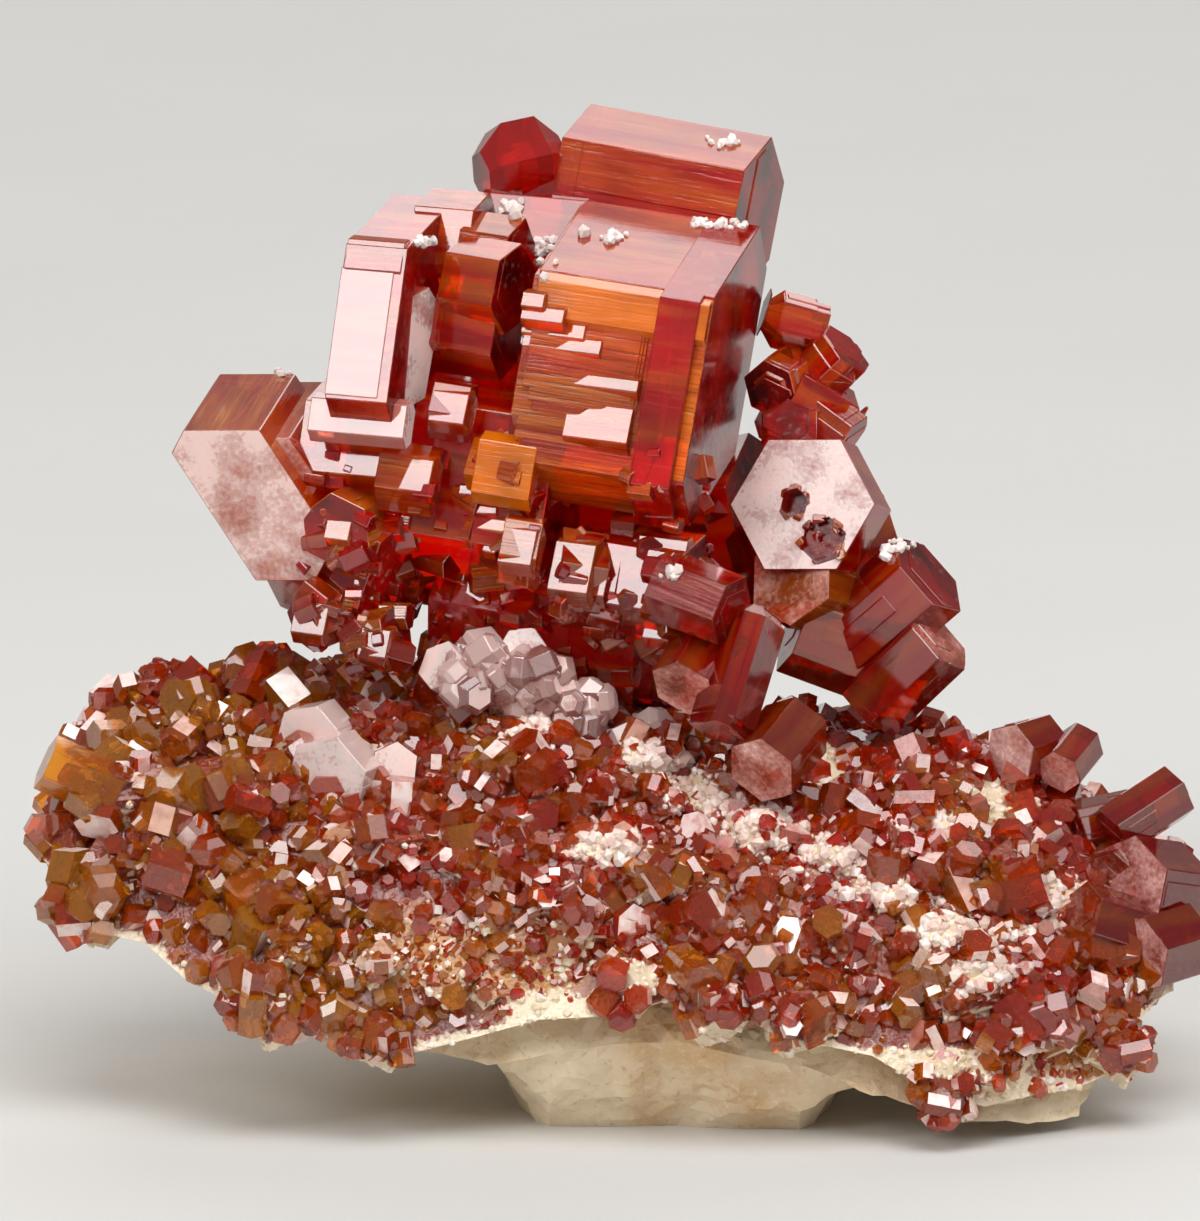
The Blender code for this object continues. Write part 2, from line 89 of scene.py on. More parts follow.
TILT = Matrix.Rotation(math.radians(-VIEW_TILT), 4, "X")
TO_FLOOR = Matrix.Scale(MM, 4) @ Matrix.Translation((-MIDDLE_ACROSS, -MIDDLE_BACK, -CUT_HEIGHT))

# tint runs from 0, deep red, to 1, thin orange. frost is how pale the etched ends are.
Crystal = namedtuple("Crystal", "across up depth yaw dip roll length faces bevel tint frost along")


def crystal(
    across, up, depth, length, faces,
    yaw=GROWTH_YAW, dip=GROWTH_DIP, roll=GROWTH_ROLL, bevel=0.0, tint=0.3, frost=0.15, along=0.0,
):
    """A six-sided crystal. faces is one distance from the axis, or six from the upper face forwards."""
    faces = faces if isinstance(faces, tuple) else (faces,) * 6
    return Crystal(across, up, depth, yaw, dip, roll, length, faces, bevel, tint, frost, along)


# The main crystal: its proud right end with the strip beside it and the layer in front, the left
# of its front, and the lip along its top.
MAIN_RIGHT = crystal(3.8, 30.03, 0.39, 2.2, (6.84, 6.25, 6.3, 2.7, 2.7, 6.84), tint=0.12, frost=0.05)
MAIN_STRIP = MAIN_RIGHT._replace(faces=(6.7, 6.32, 6.2, 2.7, 2.7, 6.7), length=2.16, tint=0.85)
MAIN_LAYER = MAIN_RIGHT._replace(
    faces=(6.84, 6.84, 6.84, 2.7, 2.7, 6.84), length=1.75, tint=0.08, along=-0.22
)
MAIN_LEFT = crystal(0.19, 30.62, 1.25, 5.5, (6.78, 6.1, 4.6, 2.6, 2.6, 6.78), tint=0.35)
MAIN_LIP = crystal(1.25, 30.45, 1.0, 7.4, (6.72, 6.75, 1.3, 2.5, 2.5, 6.6), tint=0.95)

SUMMIT = [
    MAIN_RIGHT,
    MAIN_STRIP,
    MAIN_LAYER,
    MAIN_LEFT,
    MAIN_LIP,
    crystal(-8.8, 32.45, 0.5, 2.7, 5.7, yaw=-16, dip=-5, roll=50, tint=0.2, frost=0.2),
    crystal(-6.7, 36.8, 1.2, 2.6, 2.1, yaw=-16, dip=-5, roll=50, tint=0.4),
    crystal(-5.3, 35.1, -2.0, 2.6, 1.7, yaw=-28, dip=-9, roll=53, tint=0.35),
    crystal(-5.0, 36.2, 0.0, 2.2, 1.7, yaw=-20, tint=0.5),
    crystal(-5.8, 33.2, -1.0, 3.0, 1.7, yaw=-20, tint=0.2),
    crystal(2.25, 38.9, 5.0, 8.2, 2.94, yaw=-18, dip=-10.5, roll=57, tint=0.4, frost=0.05),
    crystal(-3.9, 40.2, 4.6, 3.6, 1.9, yaw=20, dip=12, roll=20, bevel=0.7, tint=0.05),
    crystal(-3.2, 37.0, 4.4, 4.6, 2.2, yaw=-10, dip=-5, roll=40, tint=0.1),
    crystal(
        -14.3, 27.1, 0.8, 8.0, (3.3, 2.0, 3.7, 3.3, 1.8, 4.1),
        yaw=80, dip=18, roll=30, tint=0.45, frost=0.8,
    ),
    crystal(
        -13.0, 28.4, 1.4, 8.0, (1.6, 1.0, 1.4, 1.5, 1.0, 1.5),
        yaw=80, dip=18, roll=30, tint=0.5, frost=0.7,
    ),
    crystal(-10.4, 28.2, 0.0, 4.2, 2.6, yaw=-16, dip=-5, roll=50, tint=0.3),
    # This block and the one at -2.5 across, 21.2 up have low tints, deep red: their own colour and painted
    # shade of the dark middle.
    crystal(-6.0, 27.0, 2.5, 9.0, 4.8, tint=0.2),
    crystal(-4.4, 27.3, -2.5, 2.6, 1.4, yaw=-25, roll=40, tint=0.8),
    crystal(-8.5, 27.0, -2.5, 2.4, 1.3, yaw=-10, roll=50, tint=0.5),
    crystal(-6.7, 29.8, -2.8, 1.6, 1.2, yaw=-10, roll=35, tint=0.2),
    crystal(-3.8, 24.0, -3.0, 1.6, 1.4, yaw=-5, roll=40, tint=0.6),
    crystal(-1.5, 23.0, -3.0, 2.0, 1.7, yaw=10, roll=20, tint=0.4),
    crystal(1.5, 22.5, -2.5, 4.0, 2.2, yaw=-20, roll=50, tint=0.2),
    crystal(-2.5, 21.2, 2.6, 9.0, 3.6, roll=30, tint=0.15),
    crystal(-12.2, 21.2, -2.0, 1.8, 1.1, yaw=30, dip=20, tint=0.5),
    crystal(-9.8, 20.2, -2.5, 1.8, 1.2, yaw=-30, dip=10, tint=0.6),
    crystal(-11.2, 25.0, -2.5, 2.2, 1.4, yaw=70, dip=10, tint=0.7),
    crystal(-11.0, 23.6, 0.5, 5.0, 2.6, yaw=-30, dip=-20, tint=0.3),
    crystal(0.0, 27.0, 7.0, 7.0, 4.2, yaw=-13, dip=-5, roll=35, tint=0.2),
    crystal(-7.0, 29.0, 6.0, 6.0, 4.0, yaw=5, dip=-12, roll=20, tint=0.2),
    crystal(4.5, 25.0, 6.0, 5.0, 3.2, yaw=-30, dip=10, roll=10, tint=0.2),
    crystal(1.2, 19.8, 1.6, 3.0, 2.2, roll=20, tint=0.15),
]
RIGHT_CLUSTER = [
    crystal(8.3, 25.8, 0.0, 2.4, 2.75, yaw=72, dip=-6, roll=30, tint=0.2, frost=0.9),
    crystal(8.6, 24.0, 2.6, 4.6, 2.6, yaw=40, dip=20, tint=0.4),
    crystal(8.2, 22.6, 0.4, 3.0, 1.8, yaw=60, dip=-10, tint=0.6, frost=0.4),
    crystal(8.4, 29.6, 2.6, 3.4, 1.7, yaw=20, dip=-30, bevel=0.4, tint=0.3),
    crystal(7.3, 31.2, 2.2, 3.0, 1.2, yaw=60, dip=20, bevel=0.4, tint=0.4),
    crystal(8.9, 31.6, 2.4, 2.8, 1.2, yaw=-30, dip=40, bevel=0.4, tint=0.3),
    crystal(7.6, 33.6, 2.8, 2.6, 1.1, yaw=10, dip=-15, bevel=0.4, tint=0.3),
    crystal(7.6, 28.9, 1.4, 2.6, 1.2, yaw=75, dip=-20, bevel=0.3, tint=0.2),
    crystal(9.1, 29.3, 1.8, 2.4, 1.1, yaw=-20, dip=-35, bevel=0.3, tint=0.3),
    crystal(11.5, 21.5, 0.6, 5.0, 1.8, yaw=-30, dip=37, roll=20, tint=0.15),
    crystal(12.2, 18.9, 0.2, 4.4, 1.5, yaw=-30, dip=40, roll=10, tint=0.3, frost=0.3),
    crystal(10.0, 20.2, 1.6, 5.0, 2.0, yaw=10, dip=-20, roll=10, tint=0.5),
]
FRONT_CLUSTER = [
    crystal(3.5, 22.0, -5.6, 3.4, 1.35, yaw=-28, dip=-18, roll=45, tint=0.1),
    crystal(
        5.2, 18.9, -5.4, 5.4, (1.2, 1.6, 1.2, 1.2, 1.6, 1.2),
        yaw=40, dip=68, roll=20, bevel=0.3, tint=0.15, frost=0.4,
    ),
    crystal(3.6, 19.4, -4.4, 3.6, 1.3, yaw=60, dip=40, roll=10, tint=0.3, frost=0.5),
    crystal(6.9, 15.7, -5.0, 3.4, 1.4, yaw=60, dip=30, roll=15, tint=0.35, frost=0.5),
]
LEFT_PLATES = [
    crystal(-12.4, 16.2, 0.0, 1.8, 1.35, yaw=66, dip=10, roll=20, tint=0.4, frost=1.0),
    crystal(-11.6, 14.6, 0.0, 1.8, 1.65, yaw=66, dip=10, roll=20, tint=0.4, frost=1.0),
    crystal(-8.9, 14.9, 0.0, 1.6, 0.95, yaw=75, dip=-5, roll=5, tint=0.4, frost=0.9),
]
PALE_CLUSTER = [
    crystal(-6.6, 18.8, -2.2, 2.4, 0.95, yaw=55, dip=-20, roll=10, frost=1.0),
    crystal(-5.2, 19.3, -2.0, 2.4, 1.0, yaw=-60, dip=-30, roll=40, frost=1.0),
    crystal(-3.6, 19.3, -2.0, 2.6, 0.95, yaw=80, dip=-25, roll=25, frost=1.0),
    crystal(-4.6, 18.3, -2.6, 2.0, 0.85, yaw=10, dip=-40, roll=15, bevel=0.3, frost=1.0),
    crystal(-2.9, 18.0, -2.6, 2.0, 0.9, yaw=-80, dip=30, roll=5, bevel=0.3, frost=1.0),
    crystal(-1.6, 17.5, -2.8, 2.2, 0.8, yaw=40, dip=-30, roll=15, bevel=0.3, frost=1.0),
    crystal(-6.0, 17.9, -3.0, 2.2, 0.8, yaw=0, dip=40, roll=15, frost=0.8),
]
RIGHT_PLATES = [
    crystal(17.4, 15.7, 0.0, 2.4, 1.15, yaw=50, dip=10, roll=20, tint=0.3, frost=0.7),
    crystal(19.2, 15.3, 0.0, 2.4, 0.9, yaw=60, dip=30, roll=0, tint=0.3, frost=0.5),
]
RIGHT_PRISMS = [
    crystal(22.2, 13.0, 0.0, 3.6, 1.1, yaw=25, dip=30, roll=10, tint=0.2),
    crystal(20.6, 12.4, 0.0, 3.4, 1.2, yaw=30, dip=10, roll=40, tint=0.3),
]
END_PLATES = [
    crystal(22.4, 9.8, 0.0, 3.6, 1.9, yaw=55, dip=-5, roll=10, tint=0.15, frost=0.5),
    crystal(22.8, 7.4, 0.0, 3.2, 1.5, yaw=50, dip=10, roll=20, tint=0.2, frost=0.5),
    crystal(20.6, 8.4, 0.0, 3.0, 1.3, yaw=35, dip=-15, roll=0, tint=0.3, frost=0.3),
    crystal(21.2, 10.6, 0.0, 2.8, 1.2, yaw=70, dip=20, roll=15, tint=0.2, frost=0.3),
]

# A hole grown over with small crystals: middle (across, up), half width, depth and how many stand in it.
Pit = namedtuple("Pit", "across up wide deep count")
PLATE_PITS = [Pit(7.6, 26.0, 0.55, 0.8, 26), Pit(8.8, 24.4, 0.9, 0.2, 44)]
PLATE_YAW, PLATE_DIP = 72, -6
# Where small pale crystals crowd the ridge: middle (across, up), half width, half height, how many.
Crowd = namedtuple("Crowd", "across up wide high count")
PALE_CROWDS = [
    Crowd(-4.4, 18.9, 2.4, 1.0, 34), Crowd(-1.8, 17.7, 2.2, 1.0, 30), Crowd(0.5, 16.9, 1.4, 1.0, 18),
]

# Flat sides of the summit that catch the lamp: middle (across, up), width, height, tint and frost.
Facet = namedtuple("Facet", "across up wide high tint frost yaw dip roll")


def facet(across, up, wide, high, tint=0.3, frost=0.3, yaw=-20, dip=-7, roll=46):
    return Facet(across, up, wide, high, tint, frost, yaw, dip, roll)


# The front of the main crystal starts here.
MAIN_FRONT_LEFT, MAIN_FRONT_FOOT = -4.0, 28.5

FACETS = [
    # The first and fourth facets, on the front of the crystal left of the main one, have frost above 0.9,
    # which paints their sides partly pale pink: a painted reflection of the front lamp on top of the lamp's
    # own.
    facet(-10.2, 32.8, 2.3, 5.4, 0.2, 0.95, -16, -5, 50),
    facet(-9.8, 36.1, 2.5, 1.3, 0.3, 0.8, -16, -5, 44), facet(-8.5, 32.5, 0.9, 3.9, 0.25, 0.9, -34, -5, 50),
    facet(-10.5, 29.4, 4.2, 1.4, 0.3, 0.95, -16, -5, 50), facet(-3.2, 34.3, 1.0, 0.6, 0.6),
    facet(-2.8, 33.7, 1.9, 0.6, 0.5), facet(-2.35, 33.1, 2.8, 0.6, 0.6), facet(-2.0, 32.5, 3.5, 0.6, 0.5),
    facet(-1.3, 31.0, 5.3, 0.5, 0.4), facet(-0.45, 29.15, 2.9, 1.5, 0.5), facet(-6.68, 29.8, 1.6, 1.3),
    facet(-8.5, 27.05, 2.35, 1.4, 0.4), facet(-4.4, 27.3, 2.5, 2.2, 0.95, 0.3, -13, -9, 56),
    facet(-3.8, 24.0, 1.5, 1.5, 0.5), facet(-1.5, 23.1, 1.8, 2.1, 0.5), facet(-11.2, 25.1, 1.1, 1.7, 0.6),
    facet(-12.5, 20.95, 1.5, 1.2, 0.4), facet(-9.8, 20.0, 1.3, 1.2, 0.4), facet(-7.3, 33.0, 0.5, 1.0),
    facet(0.1, 23.1, 0.9, 2.1), facet(2.2, 24.1, 2.2, 0.6, 0.2), facet(-6.9, 27.9, 0.5, 1.2),
    facet(-3.2, 26.2, 1.0, 1.0, 0.4), facet(-5.2, 25.0, 1.8, 0.5, 0.8), facet(-8.6, 22.4, 1.2, 0.7, 0.5),
    facet(-5.6, 22.0, 0.9, 1.2, 0.5), facet(-0.6, 21.0, 1.0, 0.8, 0.5), facet(2.0, 20.6, 1.2, 0.9, 0.4),
    facet(-7.6, 19.9, 0.9, 0.9, 0.5), facet(-7.2, 23.8, 1.8, 1.3, 0.4, 0.2, -40, -15, 20),
    facet(-5.4, 23.3, 1.4, 1.6, 0.55, 0.2, 10, 5, 30), facet(-8.9, 24.6, 1.3, 1.2, 0.3, 0.2, -5, 12, 10),
    facet(-6.2, 24.9, 1.2, 1.0, 0.5, 0.2, -30, -7, 46),
]

# Where the carpet of crystals changes: middle (across, up), half width, half height, in millimetres.
Patch = namedtuple("Patch", "across up wide high")
BARE_PATCHES = [
    Patch(1.3, 6.4, 1.9, 0.9), Patch(-2.6, 4.9, 2.2, 1.0), Patch(9.0, 15.0, 1.0, 1.3),
    Patch(16.2, 13.4, 1.5, 1.4), Patch(13.0, 2.9, 3.6, 0.6), Patch(18.0, 1.6, 3.0, 0.7),
]
FINE_PATCHES = [Patch(-6.6, 7.2, 3.8, 2.2), Patch(-3.4, 6.6, 3.0, 2.0), Patch(19.0, 2.6, 2.0, 1.2)]
# How far the sugary ridges stand up, in millimetres.
SUGAR_RISE = 0.35
SUGAR_PATCHES = [
    Patch(1.6, 15.0, 1.5, 0.9), Patch(3.7, 13.8, 1.5, 0.9), Patch(6.2, 12.4, 1.6, 0.9),
    Patch(9.0, 11.3, 1.7, 0.8), Patch(-0.1, 11.8, 1.7, 0.8), Patch(13.8, 8.2, 1.6, 0.8),
    Patch(-2.4, 17.2, 2.4, 1.2), Patch(16.8, 8.0, 1.6, 0.5), Patch(11.6, 9.8, 1.8, 0.7),
    Patch(15.2, 6.4, 1.6, 0.7), Patch(18.6, 9.6, 1.3, 0.7), Patch(13.2, 12.6, 1.5, 0.8),
]
BEAD_PATCHES = [
    Patch(-0.2, 37.0, 0.9, 0.3), Patch(3.4, 37.7, 0.5, 0.3), Patch(5.0, 37.6, 0.9, 0.3),
    Patch(-2.9, 36.6, 0.5, 1.0), Patch(-4.2, 38.4, 0.7, 0.6), Patch(4.7, 41.2, 0.8, 0.25),
    Patch(-15.3, 32.0, 0.7, 0.25), Patch(-14.2, 31.5, 0.5, 0.4), Patch(12.0, 24.2, 0.7, 0.4),
    Patch(2.6, 23.0, 0.6, 0.3), Patch(-8.0, 37.0, 0.4, 0.4),
]


# Node and colour tools.
def linear(code):
    """The linear colour of an sRGB hex code."""
    shares = [int(code[k : k + 2], 16) / 255 for k in (1, 3, 5)]
    return tuple(c / 12.92 if c <= 0.04045 else ((c + 0.055) / 1.055) ** 2.4 for c in shares)


def add(tree, kind, inputs=(), **settings):
    """Adds a node, sets its properties, and fills or links its inputs, by number, identifier or name."""
    made = tree.nodes.new(kind)
    for name, value in settings.items():
        setattr(made, name, value)
    for socket, value in dict(inputs).items():
        same = [item for item in made.inputs if item.identifier == socket]
        target = same[0] if same else made.inputs[socket]
        if isinstance(value, bpy.types.NodeSocket):
            tree.links.new(value, target)
        elif target.type == "RGBA" and len(value) == 3:
            target.default_value = (*value, 1.0)
        else:
            target.default_value = value
    return made


def new_material(name, **values):
    """A material with its principled shader's plain values set, its node tree and its shader."""
    made = bpy.data.materials.new(name)
    made.use_nodes = True
    shader = made.node_tree.nodes["Principled BSDF"]
    for socket, value in values.items():
        shader.inputs[socket.replace("_", " ")].default_value = value
    return made, made.node_tree, shader


# What the usual nodes are called, the inputs that are given to them in turn, and their output.
USUAL_NODES = {
    "MIX": ("ShaderNodeMix", ("Factor_Float", "A_Color", "B_Color"), 2, {"data_type": "RGBA"}),
    "RANGE": (
        "ShaderNodeMapRange", ("Value", "From Min", "From Max", "To Min", "To Max"), 0, {"clamp": True}
    ),
}


def put(tree, kind, *values):
    """Adds a mix of two colours, a value moved to another range, or a sum; gives the node's output."""
    a_sum = ("ShaderNodeMath", (0, 1), 0, {"operation": kind})
    name, sockets, output, settings = USUAL_NODES.get(kind, a_sum)
    return add(tree, name, zip(sockets, values), **settings).outputs[output]


def dress(tree, shader, height, strength, step, **links):
    """Links values to the shader's sockets, and gives it bumps of a height in millimetres."""
    bump = add(tree, "ShaderNodeBump", {"Strength": strength, "Distance": step * MM, "Height": height})
    links["Normal"] = bump.outputs["Normal"]
    for socket, value in links.items():
        tree.links.new(value, shader.inputs[socket.replace("_", " ")])


def crystal_uv(tree):
    """The place on a crystal's face in millimetres: along the long axis, across it, and its tint."""
    place = add(tree, "ShaderNodeUVMap", uv_map="grain").outputs["UV"]
    look = add(tree, "ShaderNodeUVMap", uv_map="look").outputs["UV"]
    on_face = add(tree, "ShaderNodeSeparateXYZ", {0: place})
    tint = add(tree, "ShaderNodeSeparateXYZ", {0: look})
    return on_face.outputs["X"], on_face.outputs["Y"], tint.outputs["X"], tint.outputs["Y"]


def streaks(tree, along, across, tint, stretch, spacing, detail=3.0):
    """Growth lines: noise that changes slowly along the crystal and fast across it."""
    slow = put(tree, "MULTIPLY", along, stretch)
    fast = put(tree, "MULTIPLY", across, 1.0 / spacing)
    seed = put(tree, "MULTIPLY", tint, 60.0)
    place = add(tree, "ShaderNodeCombineXYZ", {"X": slow, "Y": fast, "Z": seed}).outputs[0]
    return add(tree, "ShaderNodeTexNoise", {"Vector": place, "Scale": 1.0, "Detail": detail}).outputs["Fac"]


def body_noise(tree, per_mm, detail=3.0):
    """Noise through the body of a piece, with its scale given as features to a millimetre."""
    place = add(tree, "ShaderNodeTexCoord").outputs["Object"]
    inputs = {"Vector": place, "Scale": per_mm / MM, "Detail": detail}
    return add(tree, "ShaderNodeTexNoise", inputs).outputs["Fac"]


def see_through(tree, colour, per_mm):
    """Light is lost on its way through the crystal, red least."""
    loss = add(tree, "ShaderNodeVolumeAbsorption", {"Color": colour, "Density": per_mm / MM})
    tree.links.new(loss.outputs[0], tree.nodes["Material Output"].inputs["Volume"])


def prism_face_material(settings):
    """Vanadinite, as it grew: glassy prism faces with fine lines along the crystal.

    The eye sees a dark red body that turns orange where it is thin, and mirror-like sides that go
    pale pink where they reflect a lamp. The lines break that mirror into streaks.
    """
    made, tree, shader = new_material("vanadinite_grown_prism_face", IOR=1.85, Transmission_Weight=0.6)
    along, across, tint, frost = crystal_uv(tree)
    fine = streaks(tree, along, across, tint, 0.35, settings.line_spacing / MM)
    broad = streaks(tree, along, across, tint, 0.12, 1.1)
    veil = body_noise(tree, 0.35)
    warm = put(tree, "ADD", tint, put(tree, "RANGE", broad, 0.35, 0.7, -0.3, 0.35))
    body = put(tree, "MIX", put(tree, "RANGE", warm, 0.1, 0.85), settings.deep_red, settings.orange)
    body = put(tree, "MIX", put(tree, "RANGE", fine, 0.58, 0.75, 0.0, 0.35), body, settings.bright_red)
    place = add(tree, "ShaderNodeTexCoord").outputs["Object"]
    height = add(tree, "ShaderNodeSeparateXYZ", {0: place}).outputs["Z"]
    clouds = put(tree, "RANGE", veil, 0.45, 0.7, 0.0, 0.35)
    # Painted shade: below 26 mm, and most at 18 mm, the body is mixed toward shadow red for the shade of the
    # dark middle.
    painted_shade_low_down = put(tree, "RANGE", height, 18 * MM, 26 * MM, 0.6, 0.0)
    shade = put(tree, "MAXIMUM", clouds, painted_shade_low_down)
    body = put(tree, "MIX", shade, body, settings.shadow_red)
    thin_enough = put(tree, "RANGE", tint, 0.3, 0.5)
    lined = put(tree, "MULTIPLY", thin_enough, put(tree, "RANGE", tint, 0.85, 0.93, 1.0, 0.2))
    # Painted shade: dark bands along the fine growth lines of the thin parts, for the shade in their grooves.
    painted_shade_lines = put(tree, "MULTIPLY", put(tree, "RANGE", fine, 0.32, 0.5, 0.55, 0.0), lined)
    body = put(tree, "MIX", painted_shade_lines, body, settings.shadow_brown)
    # Painted reflection: gold streaks on the bright growth lines of the thin parts, a gleam of lamp light.
    bright_lines = put(tree, "RANGE", fine, 0.6, 0.68)
    painted_gleam = put(tree, "MULTIPLY", bright_lines, put(tree, "RANGE", broad, 0.5, 0.6, 0.0, 0.55))
    painted_gleam = put(tree, "MULTIPLY", painted_gleam, lined)
    body = put(tree, "MIX", painted_gleam, body, settings.gold_gleam)
    body = put(tree, "MIX", put(tree, "RANGE", frost, 0.0, 0.3, 0.0, 0.95), body, settings.pale_pink)
    rough = put(tree, "RANGE", fine, 0.35, 0.75, 0.04, 0.13)
    thin = put(tree, "RANGE", tint, 0.5, 0.95, 0.0, 0.25)
    clear = put(tree, "SUBTRACT", put(tree, "RANGE", frost, 0.1, 0.3, 0.62, 0.3), thin)
    strength = put(tree, "RANGE", tint, 0.15, 0.5, 0.1, 0.3)
    dress(tree, shader, fine, strength, 0.02, Base_Color=body, Roughness=rough, Transmission_Weight=clear)
    see_through(tree, settings.see_through, settings.loss_per_mm)
    return made


def end_face_material(settings):
    """Vanadinite, its flat ends etched: a thin mottled pale skin over the red body.

    The eye sees a satin plate, greyish pink, with warm patches where the skin is thin.
    """
    made, tree, shader = new_material("vanadinite_etched_end_face", IOR=1.75, Transmission_Weight=0.5)
    along, across, tint, frost = crystal_uv(tree)
    patches = body_noise(tree, 0.55, 4.0)
    grain = body_noise(tree, 5.0, 3.0)
    skin = put(tree, "RANGE", patches, 0.3, 0.7, -0.35, 0.3)
    skin = put(tree, "ADD", skin, put(tree, "RANGE", grain, 0.3, 0.7, -0.15, 0.15))
    skin = put(tree, "ADD", skin, put(tree, "RANGE", frost, 0.0, 1.0, -0.2, 0.95))
    red = put(tree, "MIX", tint, settings.deep_red, settings.orange)
    pale = put(tree, "MIX", put(tree, "RANGE", patches, 0.42, 0.6), settings.pale_grey, settings.pale_pink)
    share = put(tree, "RANGE", skin, 0.0, 0.9, 0.0, 0.95)
    body = put(tree, "MIX", share, red, pale)
    rough = put(tree, "RANGE", share, 0.0, 0.9, 0.08, 0.3)
    clear = put(tree, "RANGE", share, 0.1, 0.8, 0.75, 0.1)
    dress(tree, shader, grain, 0.3, 0.03, Base_Color=body, Roughness=rough, Transmission_Weight=clear)
    see_through(tree, settings.see_through, settings.loss_per_mm)
    return made


def clean_end_material(settings):
    """Vanadinite, its flat ends clean: wine red, smooth, darker than the sides.

    The eye looks down the crystal here, through its whole length, so little light comes back.
    """
    made, tree, shader = new_material("vanadinite_clean_end_face", IOR=1.55, Transmission_Weight=0.6)
    cloud = body_noise(tree, 0.4, 4.0)
    fine = body_noise(tree, 3.0)
    body = put(tree, "MIX", put(tree, "RANGE", cloud, 0.35, 0.65), settings.shadow_red, settings.deep_red)
    body = put(tree, "MIX", put(tree, "RANGE", fine, 0.6, 0.8, 0.0, 0.35), body, settings.pale_pink)
    rough = put(tree, "RANGE", fine, 0.3, 0.7, 0.1, 0.22)
    dress(tree, shader, fine, 0.2, 0.02, Base_Color=body, Roughness=rough)
    see_through(tree, settings.see_through, settings.loss_per_mm)
    return made


def carpet_material(settings):
    """Vanadinite, small fresh crystals: orange-brown to red glassy bodies, with some flat faces painted pale
    as frost and painted highlight.
    """
    made, tree, shader = new_material("vanadinite_small_fresh_crystals", IOR=1.85, Transmission_Weight=0.5)
    tint = add(tree, "ShaderNodeAttribute", attribute_name="tint").outputs["Fac"]
    drift = body_noise(tree, 0.12)
    cloud = body_noise(tree, 2.2)
    place = add(tree, "ShaderNodeTexCoord").outputs["Object"]
    left_right = add(tree, "ShaderNodeSeparateXYZ", {0: place}).outputs["X"]
    more_on_left = put(tree, "RANGE", left_right, -18 * MM, -2 * MM, 0.3, 0.0)
    drift = put(tree, "ADD", put(tree, "RANGE", drift, 0.35, 0.65, -0.25, 0.3), more_on_left)
    warm = put(tree, "ADD", put(tree, "MULTIPLY", tint, 0.7), drift)
    body = put(tree, "MIX", put(tree, "RANGE", warm, 0.1, 0.5), settings.red, settings.brown)
    body = put(tree, "MIX", put(tree, "RANGE", warm, 0.5, 0.95), body, settings.orange)
    look = add(tree, "ShaderNodeUVMap", uv_map="look").outputs["UV"]
    face_share = add(tree, "ShaderNodeSeparateXYZ", {0: look}).outputs["Y"]
    chance = put(tree, "FRACT", put(tree, "MULTIPLY", tint, 13.0))
    # Painted highlight: marked faces on some crystals go pale, partly frost and partly standing in for a
    # lamp's reflection.
    frost_and_highlight = put(tree, "MULTIPLY", face_share, put(tree, "RANGE", chance, 0.5, 0.75))
    frost_and_highlight = put(tree, "MULTIPLY", frost_and_highlight, put(tree, "RANGE", cloud, 0.25, 0.6, 0.55, 1.0))
    body = put(tree, "MIX", frost_and_highlight, body, settings.pale)
    clear = put(tree, "RANGE", frost_and_highlight, 0.0, 0.8, 0.8, 0.1)
    rough = put(tree, "RANGE", cloud, 0.3, 0.7, 0.04, 0.12)
    dress(tree, shader, cloud, 0.15, 0.02, Base_Color=body, Roughness=rough, Transmission_Weight=clear)
    return made


def crust_material(settings, rock):
    """Vanadinite, the bed of the small crystals: dark between them, cream where the rock is bare."""
    made, tree, shader = new_material("vanadinite_crust_bed", IOR=1.9, Roughness=0.35)
    bare = add(tree, "ShaderNodeAttribute", attribute_name="bare").outputs["Fac"]
    fine = add(tree, "ShaderNodeAttribute", attribute_name="fine").outputs["Fac"]
    coarse = body_noise(tree, 0.6)
    grain = body_noise(tree, 4.0)
    bed = put(tree, "MIX", put(tree, "RANGE", coarse, 0.35, 0.65, 0.0, 0.4), settings.bed, settings.bed_light)
    bed = put(tree, "MIX", put(tree, "RANGE", fine, 0.2, 1.0, 0.0, 0.75), bed, rock.yellow)
    edge = put(tree, "ADD", bare, put(tree, "RANGE", grain, 0.3, 0.7, -0.25, 0.25))
    bed = put(tree, "MIX", put(tree, "RANGE", edge, 0.35, 0.6), bed, rock.cream)
    dress(tree, shader, grain, 0.8, 0.12, Base_Color=bed)
    return made


def rock_material(settings):
    """Quartz and baryte rock, broken: cream and chalky, with yellow stains and fine grain."""
    made, tree, shader = new_material("cream_rock_broken", Roughness=0.82)
    stain = body_noise(tree, 0.22, 5.0)
    grain = body_noise(tree, 3.5, 4.0)
    body = put(tree, "MIX", put(tree, "RANGE", stain, 0.48, 0.7, 0.0, 0.7), settings.cream, settings.yellow)
    body = put(tree, "MIX", put(tree, "RANGE", grain, 0.55, 0.75, 0.0, 0.5), body, settings.white)
    body = put(tree, "MIX", put(tree, "RANGE", grain, 0.25, 0.4, 0.45, 0.0), body, settings.shade)
    dress(tree, shader, grain, 0.7, 0.1, Base_Color=body)
    return made


